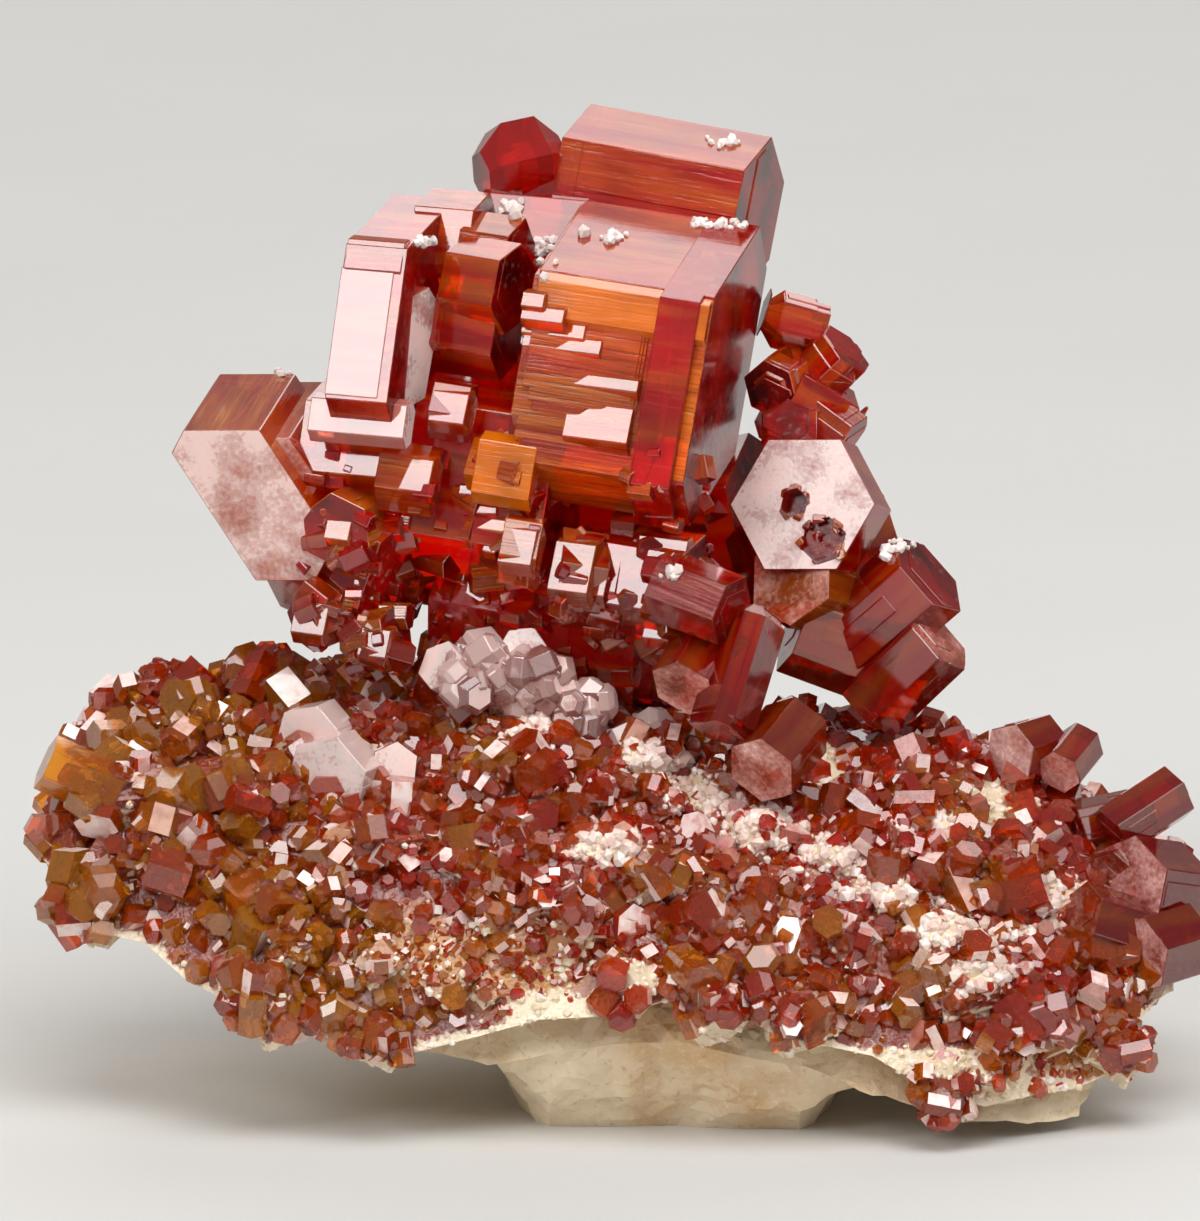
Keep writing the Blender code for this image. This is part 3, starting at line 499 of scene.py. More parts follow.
def grain_material(name, colour, other, roughness, transmission):
    """Fine mineral grains, sugary or chalky: pale, slightly clear, each a little different."""
    made, tree, shader = new_material(name, Roughness=roughness, IOR=1.6, Transmission_Weight=transmission)
    tint = add(tree, "ShaderNodeAttribute", attribute_name="tint").outputs["Fac"]
    cloud = body_noise(tree, 1.5)
    share = put(tree, "ADD", tint, put(tree, "RANGE", cloud, 0.3, 0.7, -0.3, 0.3))
    body = put(tree, "MIX", put(tree, "RANGE", share, 0.0, 1.0), colour, other)
    dress(tree, shader, body_noise(tree, 8.0), 0.3, 0.03, Base_Color=body)
    return made


def floor_material(colour):
    """Matt photographic paper: pale, with the faint cloudiness of its pulp."""
    made, tree, shader = new_material("matt_paper_sweep", Roughness=0.9)
    place = add(tree, "ShaderNodeTexCoord").outputs["Object"]
    pulp = add(tree, "ShaderNodeTexNoise", {"Vector": place, "Scale": 40.0, "Detail": 3.0}).outputs["Fac"]
    darker = tuple(0.94 * share for share in colour)
    tree.links.new(put(tree, "MIX", pulp, darker, colour), shader.inputs["Base Color"])
    return made


# Crystals.
def cut_flat(maker, distance, direction):
    """Takes off what lies past a plane and closes the cut."""
    geometry = maker.verts[:] + maker.edges[:] + maker.faces[:]
    cut = bmesh.ops.bisect_plane(
        maker, geom=geometry, plane_co=direction * distance, plane_no=direction, clear_outer=True
    )
    rim = [item for item in cut["geom_cut"] if isinstance(item, bmesh.types.BMEdge)]
    if rim:
        bmesh.ops.edgeloop_fill(maker, edges=rim)


SIDE_TURNS = [math.radians(60 * k) for k in range(6)]
SIDE_DIRECTIONS = [Vector((math.cos(turn), math.sin(turn), 0)) for turn in SIDE_TURNS]
SIDE_FACE, END_FACE, CLEAN_END_FACE = 0, 1, 2
# Ends with less frost than this are clean and dark.
CLEAN_FROST = 0.3


def seen_at(across, up, depth):
    """The place in space of a point given as it is seen from the display side."""
    return TILT @ Vector((across, depth, up))


def turn_of(item):
    """Lays the long axis across, rolls it, then dips and turns it, and tilts all to the display side."""
    lay_down = Matrix.Rotation(math.radians(90), 4, "Y") @ Matrix.Rotation(math.radians(150), 4, "Z")
    roll = Matrix.Rotation(math.radians(item.roll), 4, "X")
    dip = Matrix.Rotation(math.radians(-item.dip), 4, "Y")
    yaw = Matrix.Rotation(math.radians(item.yaw), 4, "Z")
    return TILT @ yaw @ dip @ roll @ lay_down


def crystal_maker(item, edge=0.0):
    """A block cut down to a crystal, its edges just taken off, with its grain and look maps."""
    maker = bmesh.new()
    bmesh.ops.create_cube(maker, size=4 * max(item.faces) + 4)
    for distance, side in zip(item.faces, SIDE_DIRECTIONS):
        cut_flat(maker, distance, side)
    for end in (1, -1):
        cut_flat(maker, item.length / 2, Vector((0, 0, end)))
    if item.bevel:
        for distance, side in zip(item.faces, SIDE_DIRECTIONS):
            for end in (1, -1):
                slope = (side + Vector((0, 0, 0.9 * end))).normalized()
                corner = side * distance + Vector((0, 0, end * item.length / 2))
                cut_flat(maker, corner.dot(slope) - item.bevel, slope)
    if edge:
        bmesh.ops.bevel(
            maker, geom=maker.edges[:], offset=edge, segments=1, affect="EDGES", clamp_overlap=True
        )
    grain = maker.loops.layers.uv.new("grain")
    look = maker.loops.layers.uv.new("look")
    maker.normal_update()
    for face in maker.faces:
        is_end = abs(face.normal.z) > 0.95
        end_face = END_FACE if item.frost >= CLEAN_FROST else CLEAN_END_FACE
        face.material_index = end_face if is_end else SIDE_FACE
        tangent = Vector((0, 0, 1)).cross(face.normal)
        for loop in face.loops:
            place = loop.vert.co
            loop[grain].uv = (place.x, place.y) if is_end else (place.z, place.dot(tangent))
            loop[look].uv = (item.tint, item.frost if is_end else max(0.0, 3 * (item.frost - 0.9)))
    bmesh.ops.translate(maker, verts=maker.verts, vec=Vector((0, 0, item.along)))
    return maker


def add_object(name, maker, collection, materials=()):
    mesh = bpy.data.meshes.new(name)
    maker.to_mesh(mesh)
    maker.free()
    for material in materials:
        mesh.materials.append(material)
    made = bpy.data.objects.new(name, mesh)
    collection.objects.link(made)
    return made


def add_crystal(name, item, collection, materials, edge=0.0):
    maker = crystal_maker(item, edge)
    place = Matrix.Translation(seen_at(item.across, item.up, item.depth)) @ turn_of(item)
    bmesh.ops.transform(maker, matrix=place, verts=maker.verts)
    return add_object(name, maker, collection, materials)


def evaluated_mesh(item):
    graph = bpy.context.evaluated_depsgraph_get()
    return bpy.data.meshes.new_from_object(item.evaluated_get(graph))


def bake(item):
    """Turns an object's modifiers into its mesh."""
    mesh = evaluated_mesh(item)
    item.modifiers.clear()
    item.data = mesh


def drop(collection):
    """Removes a collection with what is in it."""
    for item in list(collection.objects):
        bpy.data.objects.remove(item)
    bpy.data.collections.remove(collection)


def grown_together(name, items, materials, edge, holes=()):
    """One closed mesh of crystals that grew into each other, in metres over the origin."""
    scene = bpy.context.scene.collection
    others = bpy.data.collections.new(name + "_others")
    scene.children.link(others)
    first = add_crystal(name, items[0], scene, materials, edge)
    for number, item in enumerate(items[1:]):
        add_crystal(f"{name}_{number}", item, others, materials, edge)
    union = first.modifiers.new("union", "BOOLEAN")
    union.operation = "UNION"
    union.solver = "MANIFOLD"
    union.operand_type = "COLLECTION"
    union.collection = others
    rooms = [add_crystal(name + "_room", hole, scene, materials) for hole in holes]
    for room in rooms:
        cut = first.modifiers.new("cut", "BOOLEAN")
        cut.operation = "DIFFERENCE"
        cut.solver = "MANIFOLD"
        cut.object = room
    bake(first)
    drop(others)
    for room in rooms:
        bpy.data.objects.remove(room)
    first.data.transform(TO_FLOOR)
    return first


def growth_plates(item, rng, count):
    """Thin plates on a crystal's sides and ends, as it grew layer on layer."""
    made = []
    for _ in range(count):
        faces = list(item.faces)
        side = rng.choice([k for k in range(6) if faces[k] > 0.6 * max(faces)])
        proud = rng.uniform(0.02, 0.05)
        for k in range(6):
            inwards = rng.uniform(0.03, 0.45) if k in ((side + 1) % 6, (side - 1) % 6) else 0.02
            faces[k] = faces[k] + proud if k == side else faces[k] - inwards * item.faces[k]
        length = item.length * rng.uniform(0.25, 0.97)
        slack = (item.length - length) / 2
        along = item.along + rng.choice((-1, 1, rng.uniform(-1, 1))) * slack
        made.append(item._replace(faces=tuple(faces), length=length, along=along, bevel=0.0))
    for end in (-1, 1) if item.frost < 0.5 else ():
        faces = tuple(distance * rng.uniform(0.4, 1.0) for distance in item.faces)
        thick = rng.uniform(0.02, 0.06)
        along = item.along + end * (item.length + thick) / 2 * 0.999
        made.append(item._replace(faces=faces, length=thick * 2, along=along - end * thick / 2, bevel=0.0))
    return made


def stepped_bands(rng):
    """The left of the main crystal's front: bands along it, each set back behind the one above."""
    made = []
    front = 6.42
    low = 3.7
    for _ in range(12):
        made.append(
            MAIN_LEFT._replace(
                faces=(6.6, front, low, 2.6, 2.6, 6.6),
                length=5.5 + rng.uniform(-1.1, 0.3),
                along=rng.uniform(-0.3, 0.3),
                tint=rng.choice((0.4, 0.55, 0.8)),
            )
        )
        front -= rng.uniform(0.01, 0.08)
        low += rng.uniform(0.12, 0.32)
    return made


def front_reach(item):
    """How far a crystal's surface stands before its middle on the line of sight."""
    maker = crystal_maker(item)
    bmesh.ops.transform(maker, matrix=TILT.inverted() @ turn_of(item), verts=maker.verts)
    hit = BVHTree.FromBMesh(maker).ray_cast(Vector((0, -50, 0)), Vector((0, 1, 0)))[0]
    maker.free()
    return -hit.y


def stood_on(tree, item, proud):
    """The crystal with its front the given distance before the surface that is seen at its place."""
    hit, _ = first_hit(tree, item.across, item.up)
    if hit is None:
        return None
    return item._replace(depth=shown(hit).y + front_reach(item) - proud)


def facet_crystals(tree):
    """A flat block behind each facet, as wide and high as it."""
    made = []
    for item in FACETS:
        front = 0.35 + 0.2 * item.high
        side = 0.5 * item.high * math.cos(math.radians(30)) + 0.5 * front
        block = crystal(
            item.across, item.up, 0.0, item.wide, (side, front, side, side, front, side),
            yaw=item.yaw, dip=item.dip, roll=item.roll, tint=item.tint, frost=item.frost,
        )
        on_main = item.across > MAIN_FRONT_LEFT and item.up > MAIN_FRONT_FOOT
        placed = stood_on(tree, block, 0.35 if on_main else 0.04)
        if placed:
            made.append(placed)
    return made


# Which of the summit's crystals carry growth plates, and how many small crystals stand below them.
PLATED, PLATED_LEFT = slice(6, 11), slice(13, 14)
SMALL_ON_SUMMIT = 240


def summit_crystals(rng):
    """The named crystals with their plates, the main crystal's bands, and small ones below them."""
    tree = surface_tree([frame["nodes"]["summit_cluster"]])
    made = [item._replace(depth=item.depth - FORWARD) for item in SUMMIT + stepped_bands(rng)]
    for item in made[PLATED] + made[PLATED_LEFT]:
        made += growth_plates(item, rng, 2)
    made += facet_crystals(tree)
    for _ in range(SMALL_ON_SUMMIT):
        across = rng.uniform(-13.0, 4.5)
        top = 29.0 - 0.12 * abs(across + 4)
        up = rng.uniform(18.0, top) if rng.random() < 0.5 else rng.uniform(18.5, 23.5)
        side = 0.2 + 0.5 * rng.random() ** 2
        spread = 6 if rng.random() < 0.3 else 28
        # Low tints and mostly clean, dark ends keep the small crystals below the main one deep red: their own
        # colour and painted shade of the dark middle.
        small = crystal(
            across, up, 0.0, side * rng.uniform(1.0, 2.8), side,
            yaw=-18 + rng.gauss(0, spread), dip=GROWTH_DIP + rng.gauss(0, spread),
            roll=50 + rng.gauss(0, spread), tint=rng.uniform(0.0, 0.7), frost=rng.uniform(0.0, 0.4),
        )
        placed = stood_on(tree, small, side * rng.uniform(0.1, 0.7))
        if placed:
            made.append(placed)
    return made


# Surfaces.
def merged_copy(node, name):
    """A copy of a node's mesh with its loose triangles joined into one surface."""
    made = bpy.data.objects.new(name, frame["nodes"][node].data.copy())
    bpy.context.scene.collection.objects.link(made)
    maker = bmesh.new()
    maker.from_mesh(made.data)
    bmesh.ops.remove_doubles(maker, verts=maker.verts, dist=0.002 * MM)
    return made, maker


def refine(maker, longest):
    """Halves the edges that are too long until none is."""
    for _ in range(6):
        long = [edge for edge in maker.edges if edge.calc_length() > longest]
        if not long:
            return
        bmesh.ops.subdivide_edges(maker, edges=long, cuts=1)
        bmesh.ops.triangulate(maker, faces=[face for face in maker.faces if len(face.verts) > 3])


def shown(place):
    """A point of the finished specimen as it is seen: across, depth and up in millimetres."""
    return TILT.inverted() @ (TO_FLOOR.inverted() @ place)


def inside(patches, place):
    """How far a point is in one of the patches, from 0 at the rim or outside to 1."""
    best = 0.0
    for patch in patches:
        away = math.hypot((place.x - patch.across) / patch.wide, (place.z - patch.up) / patch.high)
        wobble = 0.35 * noise.noise(place * 0.9)
        best = max(best, min(1.0, max(0.0, 1.6 - 1.2 * (away + wobble))))
    return best


def weigh_crust(mesh):
    """Stores on each point how many crystals of each kind stand there, and raises the sugary ridges."""
    rows = []
    normals = [vert.normal.copy() for vert in mesh.vertices]
    for vert, normal in zip(mesh.vertices, normals):
        place = shown(vert.co)
        faces_front = normal.y < 0.35
        under = max(0.0, min(1.0, 1 + (normal.z + 0.15) * 3))
        low = 1.0 if vert.co.z > 1.0 * MM else 0.0
        bare = inside(BARE_PATCHES, place) if faces_front else 0.0
        fine = inside(FINE_PATCHES, place) if faces_front else 0.0
        sugar = inside(SUGAR_PATCHES, place) if faces_front else 0.0
        covered = under * low * (1 - bare)
        left_wing = max(0.0, min(1.0, (-13.0 - place.x) / 3))
        right_wing = max(0.0, min(1.0, (place.x - 9.0) / 4))
        vert.co += normal * SUGAR_RISE * MM * sugar * low
        rows.append({
            "bare": max(bare, 1 - under, 0.85 * sugar),
            "fine": fine,
            "large_carpet": covered * (1 - fine) * (1 - sugar) * (0.08 + 0.92 * left_wing + 0.3 * right_wing),
            "coarse_carpet": covered * (1 - fine) * (1 - sugar),
            "medium_carpet": covered * (1 - 0.7 * fine) * (1 - 0.9 * sugar) * (1 - 0.4 * left_wing),
            "small_carpet": covered * (0.3 + 0.7 * fine) * (1 - 0.6 * sugar),
            "rock_crumbs": low * max(0.9 * bare, 0.6 * (1 - under), 0.35 * fine),
            "sugary_grains": low * under * math.sqrt(sugar),
        })
    for name in rows[0]:
        mesh.attributes.new(name, "FLOAT", "POINT")
        mesh.attributes[name].data.foreach_set("value", [row[name] for row in rows])


# Carpet of repeated crystals and grains.
def scatter_tree(material):
    """Stands copies of a collection's shapes on a surface, thick where an attribute says so."""
    tree = bpy.data.node_groups.new("stand_crystals_on_surface", "GeometryNodeTree")
    face = tree.interface
    face.new_socket("Surface", in_out="INPUT", socket_type="NodeSocketGeometry")
    face.new_socket("Shapes", in_out="INPUT", socket_type="NodeSocketCollection")
    face.new_socket("Share", in_out="INPUT", socket_type="NodeSocketString")
    for name in ("Spacing", "Most Per Area", "Smallest", "Largest", "Lean"):
        face.new_socket(name, in_out="INPUT", socket_type="NodeSocketFloat")
    face.new_socket("Seed", in_out="INPUT", socket_type="NodeSocketInt")
    face.new_socket("Pieces", in_out="OUTPUT", socket_type="NodeSocketGeometry")
    given = add(tree, "NodeGroupInput").outputs
    share = add(tree, "GeometryNodeInputNamedAttribute", {"Name": given["Share"]}, data_type="FLOAT")
    points = add(
        tree, "GeometryNodeDistributePointsOnFaces",
        {
            "Mesh": given["Surface"], "Distance Min": given["Spacing"], "Density Max": given["Most Per Area"],
            "Density Factor": share.outputs["Attribute"], "Seed": given["Seed"],
        },
        distribute_method="POISSON",
    )
    lean_back = put(tree, "MULTIPLY", given["Lean"], -1.0)
    low = add(tree, "ShaderNodeCombineXYZ", {"X": lean_back, "Y": lean_back, "Z": -math.pi}).outputs[0]
    lean = given["Lean"]
    high = add(tree, "ShaderNodeCombineXYZ", {"X": lean, "Y": lean, "Z": math.pi}).outputs[0]
    limits = {"Min": low, "Max": high, "Seed": 3}
    turn = add(tree, "FunctionNodeRandomValue", limits, data_type="FLOAT_VECTOR")
    stand = add(
        tree, "FunctionNodeRotateRotation",
        {"Rotation": points.outputs["Rotation"], "Rotate By": turn.outputs[0]}, rotation_space="LOCAL",
    )
    chance = add(tree, "FunctionNodeRandomValue", {"Seed": 5}, data_type="FLOAT").outputs[1]
    skewed = put(tree, "POWER", chance, 1.8)
    spread = put(tree, "SUBTRACT", given["Largest"], given["Smallest"])
    size = put(tree, "ADD", put(tree, "MULTIPLY", skewed, spread), given["Smallest"])
    shapes = add(
        tree, "GeometryNodeCollectionInfo",
        {"Collection": given["Shapes"], "Separate Children": True, "Reset Children": True},
    )
    pick = add(tree, "FunctionNodeRandomValue", {"Min_002": 0, "Max_002": 40, "Seed": 7}, data_type="INT")
    stood = add(
        tree, "GeometryNodeInstanceOnPoints",
        {
            "Points": points.outputs["Points"], "Instance": shapes.outputs[0], "Pick Instance": True,
            "Rotation": stand.outputs[0], "Instance Index": pick.outputs[2], "Scale": size,
        },
    )
    tint = add(tree, "FunctionNodeRandomValue", {"Seed": 9}, data_type="FLOAT").outputs[1]
    stored = add(
        tree, "GeometryNodeStoreNamedAttribute",
        {"Geometry": stood.outputs[0], "Name": "tint", "Value": tint}, domain="INSTANCE", data_type="FLOAT",
    )
    real = add(tree, "GeometryNodeRealizeInstances", {"Geometry": stored.outputs[0]})
    faced = add(tree, "GeometryNodeSetMaterial", {"Geometry": real.outputs[0], "Material": material})
    add(tree, "NodeGroupOutput", {"Pieces": faced.outputs[0]})
    return tree


def scatter(name, surface, shapes, material, **values):
    """A plain mesh of the pieces that the tree stands on a surface."""
    made = bpy.data.objects.new(name, surface.data.copy())
    bpy.context.scene.collection.objects.link(made)
    nodes = made.modifiers.new("stand_crystals", "NODES")
    nodes.node_group = scatter_tree(material)
    values["Shapes"] = shapes
    for socket in nodes.node_group.interface.items_tree:
        if socket.name in values:
            nodes[socket.identifier] = values[socket.name]
    bake(made)
    return made


def shape_collection(name, makers):
    """A collection of shapes about one in half width, for the carpet to repeat at its own sizes."""
    made = bpy.data.collections.new(name)
    bpy.context.scene.collection.children.link(made)
    for number, maker in enumerate(makers):
        add_object(f"{name}_{number}", maker, made)
    return made


def small_prism(length, stretch, bevel):
    """A short six-sided crystal, a little wider one way, with an end and a side marked pale, as frost and
    painted highlight.
    """
    maker = crystal_maker(crystal(0, 0, 0, length, 1.0, bevel=bevel))
    look = maker.loops.layers.uv["look"]
    for face in maker.faces:
        on_end = face.normal.z > 0.95 and length < 1.5
        frost_and_highlight = on_end or face.normal.x > 0.95 or face.normal.dot(SIDE_DIRECTIONS[2]) > 0.95
        for loop in face.loops:
            loop[look].uv = (0.0, 1.0 if frost_and_highlight else 0.0)
    bmesh.ops.scale(maker, vec=(stretch, 1.0, 1.0), verts=maker.verts)
    return maker


def crumb(seed, squash):
    """A broken grain: a ball of few faces pushed out of round."""
    rng = random.Random(seed)
    maker = bmesh.new()
    bmesh.ops.create_icosphere(maker, subdivisions=1, radius=1.0)
    for vert in maker.verts:
        vert.co *= rng.uniform(0.75, 1.2)
        vert.co.z *= squash
    return maker


def surface_tree(objects):
    """A search tree of the faces of several objects."""
    points = []
    polygons = []
    for item in objects:
        first = len(points)
        points += [vert.co.copy() for vert in item.data.vertices]
        polygons += [[first + k for k in face.vertices] for face in item.data.polygons]
    return BVHTree.FromPolygons(points, polygons)


def first_hit(tree, across, up):
    """Where the line of sight through a place in view first meets the specimen, and the face's normal."""
    start = TO_FLOOR @ seen_at(across, up, -80)
    direction = (TO_FLOOR @ seen_at(across, up, 0) - start).normalized()
    return tree.ray_cast(start, direction)[:2]


# Sizes and colours that a user would change.
def colour_property(name, description, code):
    return bpy.props.FloatVectorProperty(
        name=name, description=description, subtype="COLOR", size=3, min=0.0, max=1.0, default=linear(code)
    )


def length_property(name, description, default):
    return bpy.props.FloatProperty(
        name=name, description=description, subtype="DISTANCE", unit="LENGTH", min=0.0, default=default,
        precision=5,
    )


def power_property(name, description, default):
    return bpy.props.FloatProperty(
        name=name, description=description, subtype="POWER", unit="POWER", default=default
    )


class CrystalSettings(bpy.types.PropertyGroup):
    """The large crystals."""

    deep_red: colour_property("Deep red", "Body of the thick crystals", "#CC1206")
    bright_red: colour_property("Bright red", "Brightest growth lines", "#FF4A1A")
    # Shadow red is both the crystals' dark inner clouds and painted shade low on the crystals.
    shadow_red: colour_property("Shadow red", "Dark clouds inside", "#520604")
    orange: colour_property("Orange", "Thin, clear parts", "#FF8A14")
    # Shadow brown is painted shade in the grooves of the growth lines.
    shadow_brown: colour_property("Shadow brown", "Dark growth lines of the thin parts", "#5A1E04")
    # Gold is a painted gleam of reflected light along the growth lines.
    gold_gleam: colour_property("Gold", "Bright growth lines of the thin parts", "#FFD08A")
    pale_pink: colour_property("Pale pink", "Etched skin", "#F8DAD2")
    pale_grey: colour_property("Pale grey", "Etched skin in its cooler patches", "#E2D8D4")
    see_through: colour_property("Seen through", "Colour of light that has passed through", "#FF5A24")
    loss_per_mm: bpy.props.FloatProperty(
        name="Loss per mm", description="How fast light is lost inside", min=0.0, default=0.4
    )
    line_spacing: length_property("Line spacing", "Distance between growth lines", 0.12 * MM)
    edge: length_property("Edge", "Width of the worn edges", 0.035 * MM)
    seed: bpy.props.IntProperty(name="Seed", description="Changes the plates and small crystals", default=4)


class CarpetSettings(bpy.types.PropertyGroup):
    """The small crystals and grains that cover the rock."""

    red: colour_property("Red", "Reddest small crystals", "#F03408")
    brown: colour_property("Brown", "Middle of the range", "#F0600C")
    orange: colour_property("Orange", "Most orange small crystals", "#FFA424")
    # Pale is both frost and painted highlight on the small crystals' faces.
    pale: colour_property("Pale", "Frosted faces", "#FFEDE6")
    bed: colour_property("Bed", "Dark between the crystals", "#7A2206")
    bed_light: colour_property("Bed, light", "Lighter places between the crystals", "#B04A10")
    sugar: colour_property("Sugar", "Sugary grains", "#FFF2E8")
    sugar_shade: colour_property("Sugar shade", "Darker sugary grains", "#F0CDBC")
    bead: colour_property("Bead", "White beads", "#FBF1EC")
    bead_shade: colour_property("Bead shade", "Darker beads", "#E0CFC6")
    coarse_size: length_property("Coarse size", "Half width of the largest", 0.78 * MM)
    medium_size: length_property("Medium size", "Half width of the middle-sized", 0.5 * MM)
    small_size: length_property("Small size", "Half width of the smallest", 0.2 * MM)
    lean: bpy.props.FloatProperty(
        name="Lean", description="Furthest that a crystal leans from upright", subtype="ANGLE",
        unit="ROTATION", default=math.radians(62),
    )
    seed: bpy.props.IntProperty(name="Seed", description="Changes where the crystals stand", default=21)


class RockSettings(bpy.types.PropertyGroup):
    """The rock."""

    cream: colour_property("Cream", "Body of the rock", "#EDD9B8")
    yellow: colour_property("Yellow", "Iron stains", "#CC9448")
    white: colour_property("White", "Fresh grains", "#F6EBDC")
    shade: colour_property("Shade", "Pores", "#9C7A54")
    roughness: length_property("Roughness", "Height of its small bumps", 0.28 * MM)


class StageSettings(bpy.types.PropertyGroup):
    """Floor, lamps and camera."""

    floor: colour_property("Floor", "Paper under the specimen", "#D2D0CC")
    back_strength: power_property("Back lamp", "Power of the lamp above and behind", 1.45)
    front_strength: power_property("Front lamp", "Power of the lamp in front, left", 0.85)
    right_strength: power_property("Right lamp", "Power of the lamp in front, right", 1.0)
    high_strength: power_property("High lamp", "Power of the lamp high in front", 1.6)
    room: bpy.props.FloatProperty(name="Room", description="Strength of the light all round", default=0.26)
    distance: length_property("Camera distance", "From the camera to the specimen", 0.6)


MAIN_MATERIALS = {}


def crystal_materials():
    """The materials of the sides, the etched ends and the clean ends, made once."""
    if not MAIN_MATERIALS:
        settings = bpy.context.scene.vanadinite_crystals
        MAIN_MATERIALS["sides"] = prism_face_material(settings)
        MAIN_MATERIALS["ends"] = end_face_material(settings)
        MAIN_MATERIALS["clean ends"] = clean_end_material(settings)
    return tuple(MAIN_MATERIALS.values())


CLUSTER_OBJECTS = {}


def add_cluster(node, items, holes=()):
    settings = bpy.context.scene.vanadinite_crystals
    made = grown_together(node + "_crystals", items, crystal_materials(), settings.edge / MM, holes)
    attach(made, "root")
    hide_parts(node)
    CLUSTER_OBJECTS[node] = made
    return made


class AddMatrixRock(bpy.types.Operator):
    """Adds the cream rock with its broken grain"""

    bl_idname = "specimen.matrix_rock"
    bl_label = "Matrix rock"

    def execute(self, context):
        settings = context.scene.vanadinite_rock
        rock, maker = merged_copy("matrix_rock", "matrix_rock_broken")
        refine(maker, 0.7 * MM)
        maker.normal_update()
        for vert in maker.verts:
            place = vert.co / MM
            bump = noise.noise(place * 0.8) + 0.6 * noise.noise(place * 2.1)
            on_cut = min(1.0, vert.co.z / (1.0 * MM))
            vert.co += vert.normal * (settings.roughness * bump - 0.3 * settings.roughness) * on_cut
        maker.to_mesh(rock.data)
        maker.free()
        rock.data.materials.clear()
        rock.data.materials.append(rock_material(settings))
        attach(rock, "root")
        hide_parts("matrix_rock")
        return {"FINISHED"}


class AddCrust(bpy.types.Operator):
    """Adds the crust and the carpet of small crystals on it"""

    bl_idname = "specimen.crust"
    bl_label = "Crust and its carpet"

    def execute(self, context):
        carpet = context.scene.vanadinite_carpet
        rock = context.scene.vanadinite_rock
        crust, maker = merged_copy("crystal_crust", "crust_bed")
        refine(maker, 0.9 * MM)
        maker.to_mesh(crust.data)
        maker.free()
        weigh_crust(crust.data)
        crust.data.materials.clear()
        crust.data.materials.append(crust_material(carpet, rock))
        prisms = shape_collection(
            "small_prisms",
            [
                small_prism(1.6, 1.0, 0.0), small_prism(2.4, 1.1, 0.22), small_prism(1.2, 1.25, 0.0),
                small_prism(2.0, 1.0, 0.0), small_prism(3.2, 1.05, 0.0), small_prism(1.8, 1.15, 0.3),
            ],
        )
        grains = shape_collection("grains", [crumb(seed, 0.8) for seed in range(5)])
        fresh = carpet_material(carpet)
        sugar = grain_material("sugary_pale_grains", carpet.sugar, carpet.sugar_shade, 0.4, 0.1)
        crumbs = grain_material("cream_rock_crumbs", rock.cream, rock.white, 0.8, 0.0)
        kinds = (
            ("large_carpet", prisms, fresh, 1.5, 0.6, carpet.coarse_size, 0.6, 1.4),
            ("coarse_carpet", prisms, fresh, 0.85, 1.1, carpet.coarse_size, 0.45, 1.0),
            ("medium_carpet", prisms, fresh, 0.46, 4.2, carpet.medium_size, 0.45, 1.0),
            ("small_carpet", prisms, fresh, 0.24, 14.0, carpet.small_size, 0.4, 1.0),
            ("sugary_grains", grains, sugar, 0.22, 26.0, MM, 0.14, 0.42),
            ("rock_crumbs", grains, crumbs, 0.24, 10.0, MM, 0.1, 0.26),
        )
        for number, (name, shapes, material, spacing, most, size, smallest, largest) in enumerate(kinds):
            made = scatter(
                name, crust, shapes, material, Share=name, Spacing=spacing * MM, Smallest=smallest * size,
                Largest=largest * size, Lean=carpet.lean, Seed=carpet.seed + number,
                **{"Most Per Area": most / (MM * MM)},
            )
            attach(made, "root")
        drop(prisms)
        drop(grains)
        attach(crust, "root")
        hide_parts("crystal_crust")
        return {"FINISHED"}


class AddSummit(bpy.types.Operator):
    """Adds the large crystals at the top, grown into each other"""

    bl_idname = "specimen.summit"
    bl_label = "Summit crystals"

    def execute(self, context):
        rng = random.Random(context.scene.vanadinite_crystals.seed)
        add_cluster("summit_cluster", summit_crystals(rng))
        return {"FINISHED"}


class AddSideClusters(bpy.types.Operator):
    """Adds the groups at the right, at the front and on the ridge, and the plates on the crust"""

    bl_idname = "specimen.side_clusters"
    bl_label = "Side groups"

    def execute(self, context):
        rng = random.Random(context.scene.vanadinite_crystals.seed + 1)
        for node, items, slot in (
            ("right_cluster", RIGHT_CLUSTER, "deep_red_vanadinite"),
            ("front_cluster", FRONT_CLUSTER, "deep_red_vanadinite"),
            ("pale_cluster", PALE_CLUSTER, "pale_pink_vanadinite"),
        ):
            tree = surface_tree([frame["nodes"][node]])
            plates = [plate for item in items for plate in growth_plates(item, rng, 2)]
            placed = [item._replace(depth=item.depth - FORWARD) for item in items + plates]
            holes = []
            if node == "right_cluster":
                holes = [pit_room(tree, pit) for pit in PLATE_PITS]
                placed += [small for pit in PLATE_PITS for small in pit_crystals(tree, pit, rng)]
            if node == "pale_cluster":
                crust = surface_tree([frame["nodes"][node], frame["nodes"]["crystal_crust"]])
                placed += [small for crowd in PALE_CROWDS for small in crowd_crystals(crust, crowd, rng)]
            add_cluster(node, placed, holes)
        for node, items, slot in (
            ("left_plates", LEFT_PLATES, "pale_pink_vanadinite"),
            ("right_plates", RIGHT_PLATES, "deep_red_vanadinite"),
            ("right_prisms", RIGHT_PRISMS, "deep_red_vanadinite"),
            ("end_plates", END_PLATES, "deep_red_vanadinite"),
        ):
            seated = seat(node, items)
            plates = [plate for item in seated for plate in growth_plates(item, rng, 2)]
            add_cluster(node, seated + plates)
        return {"FINISHED"}


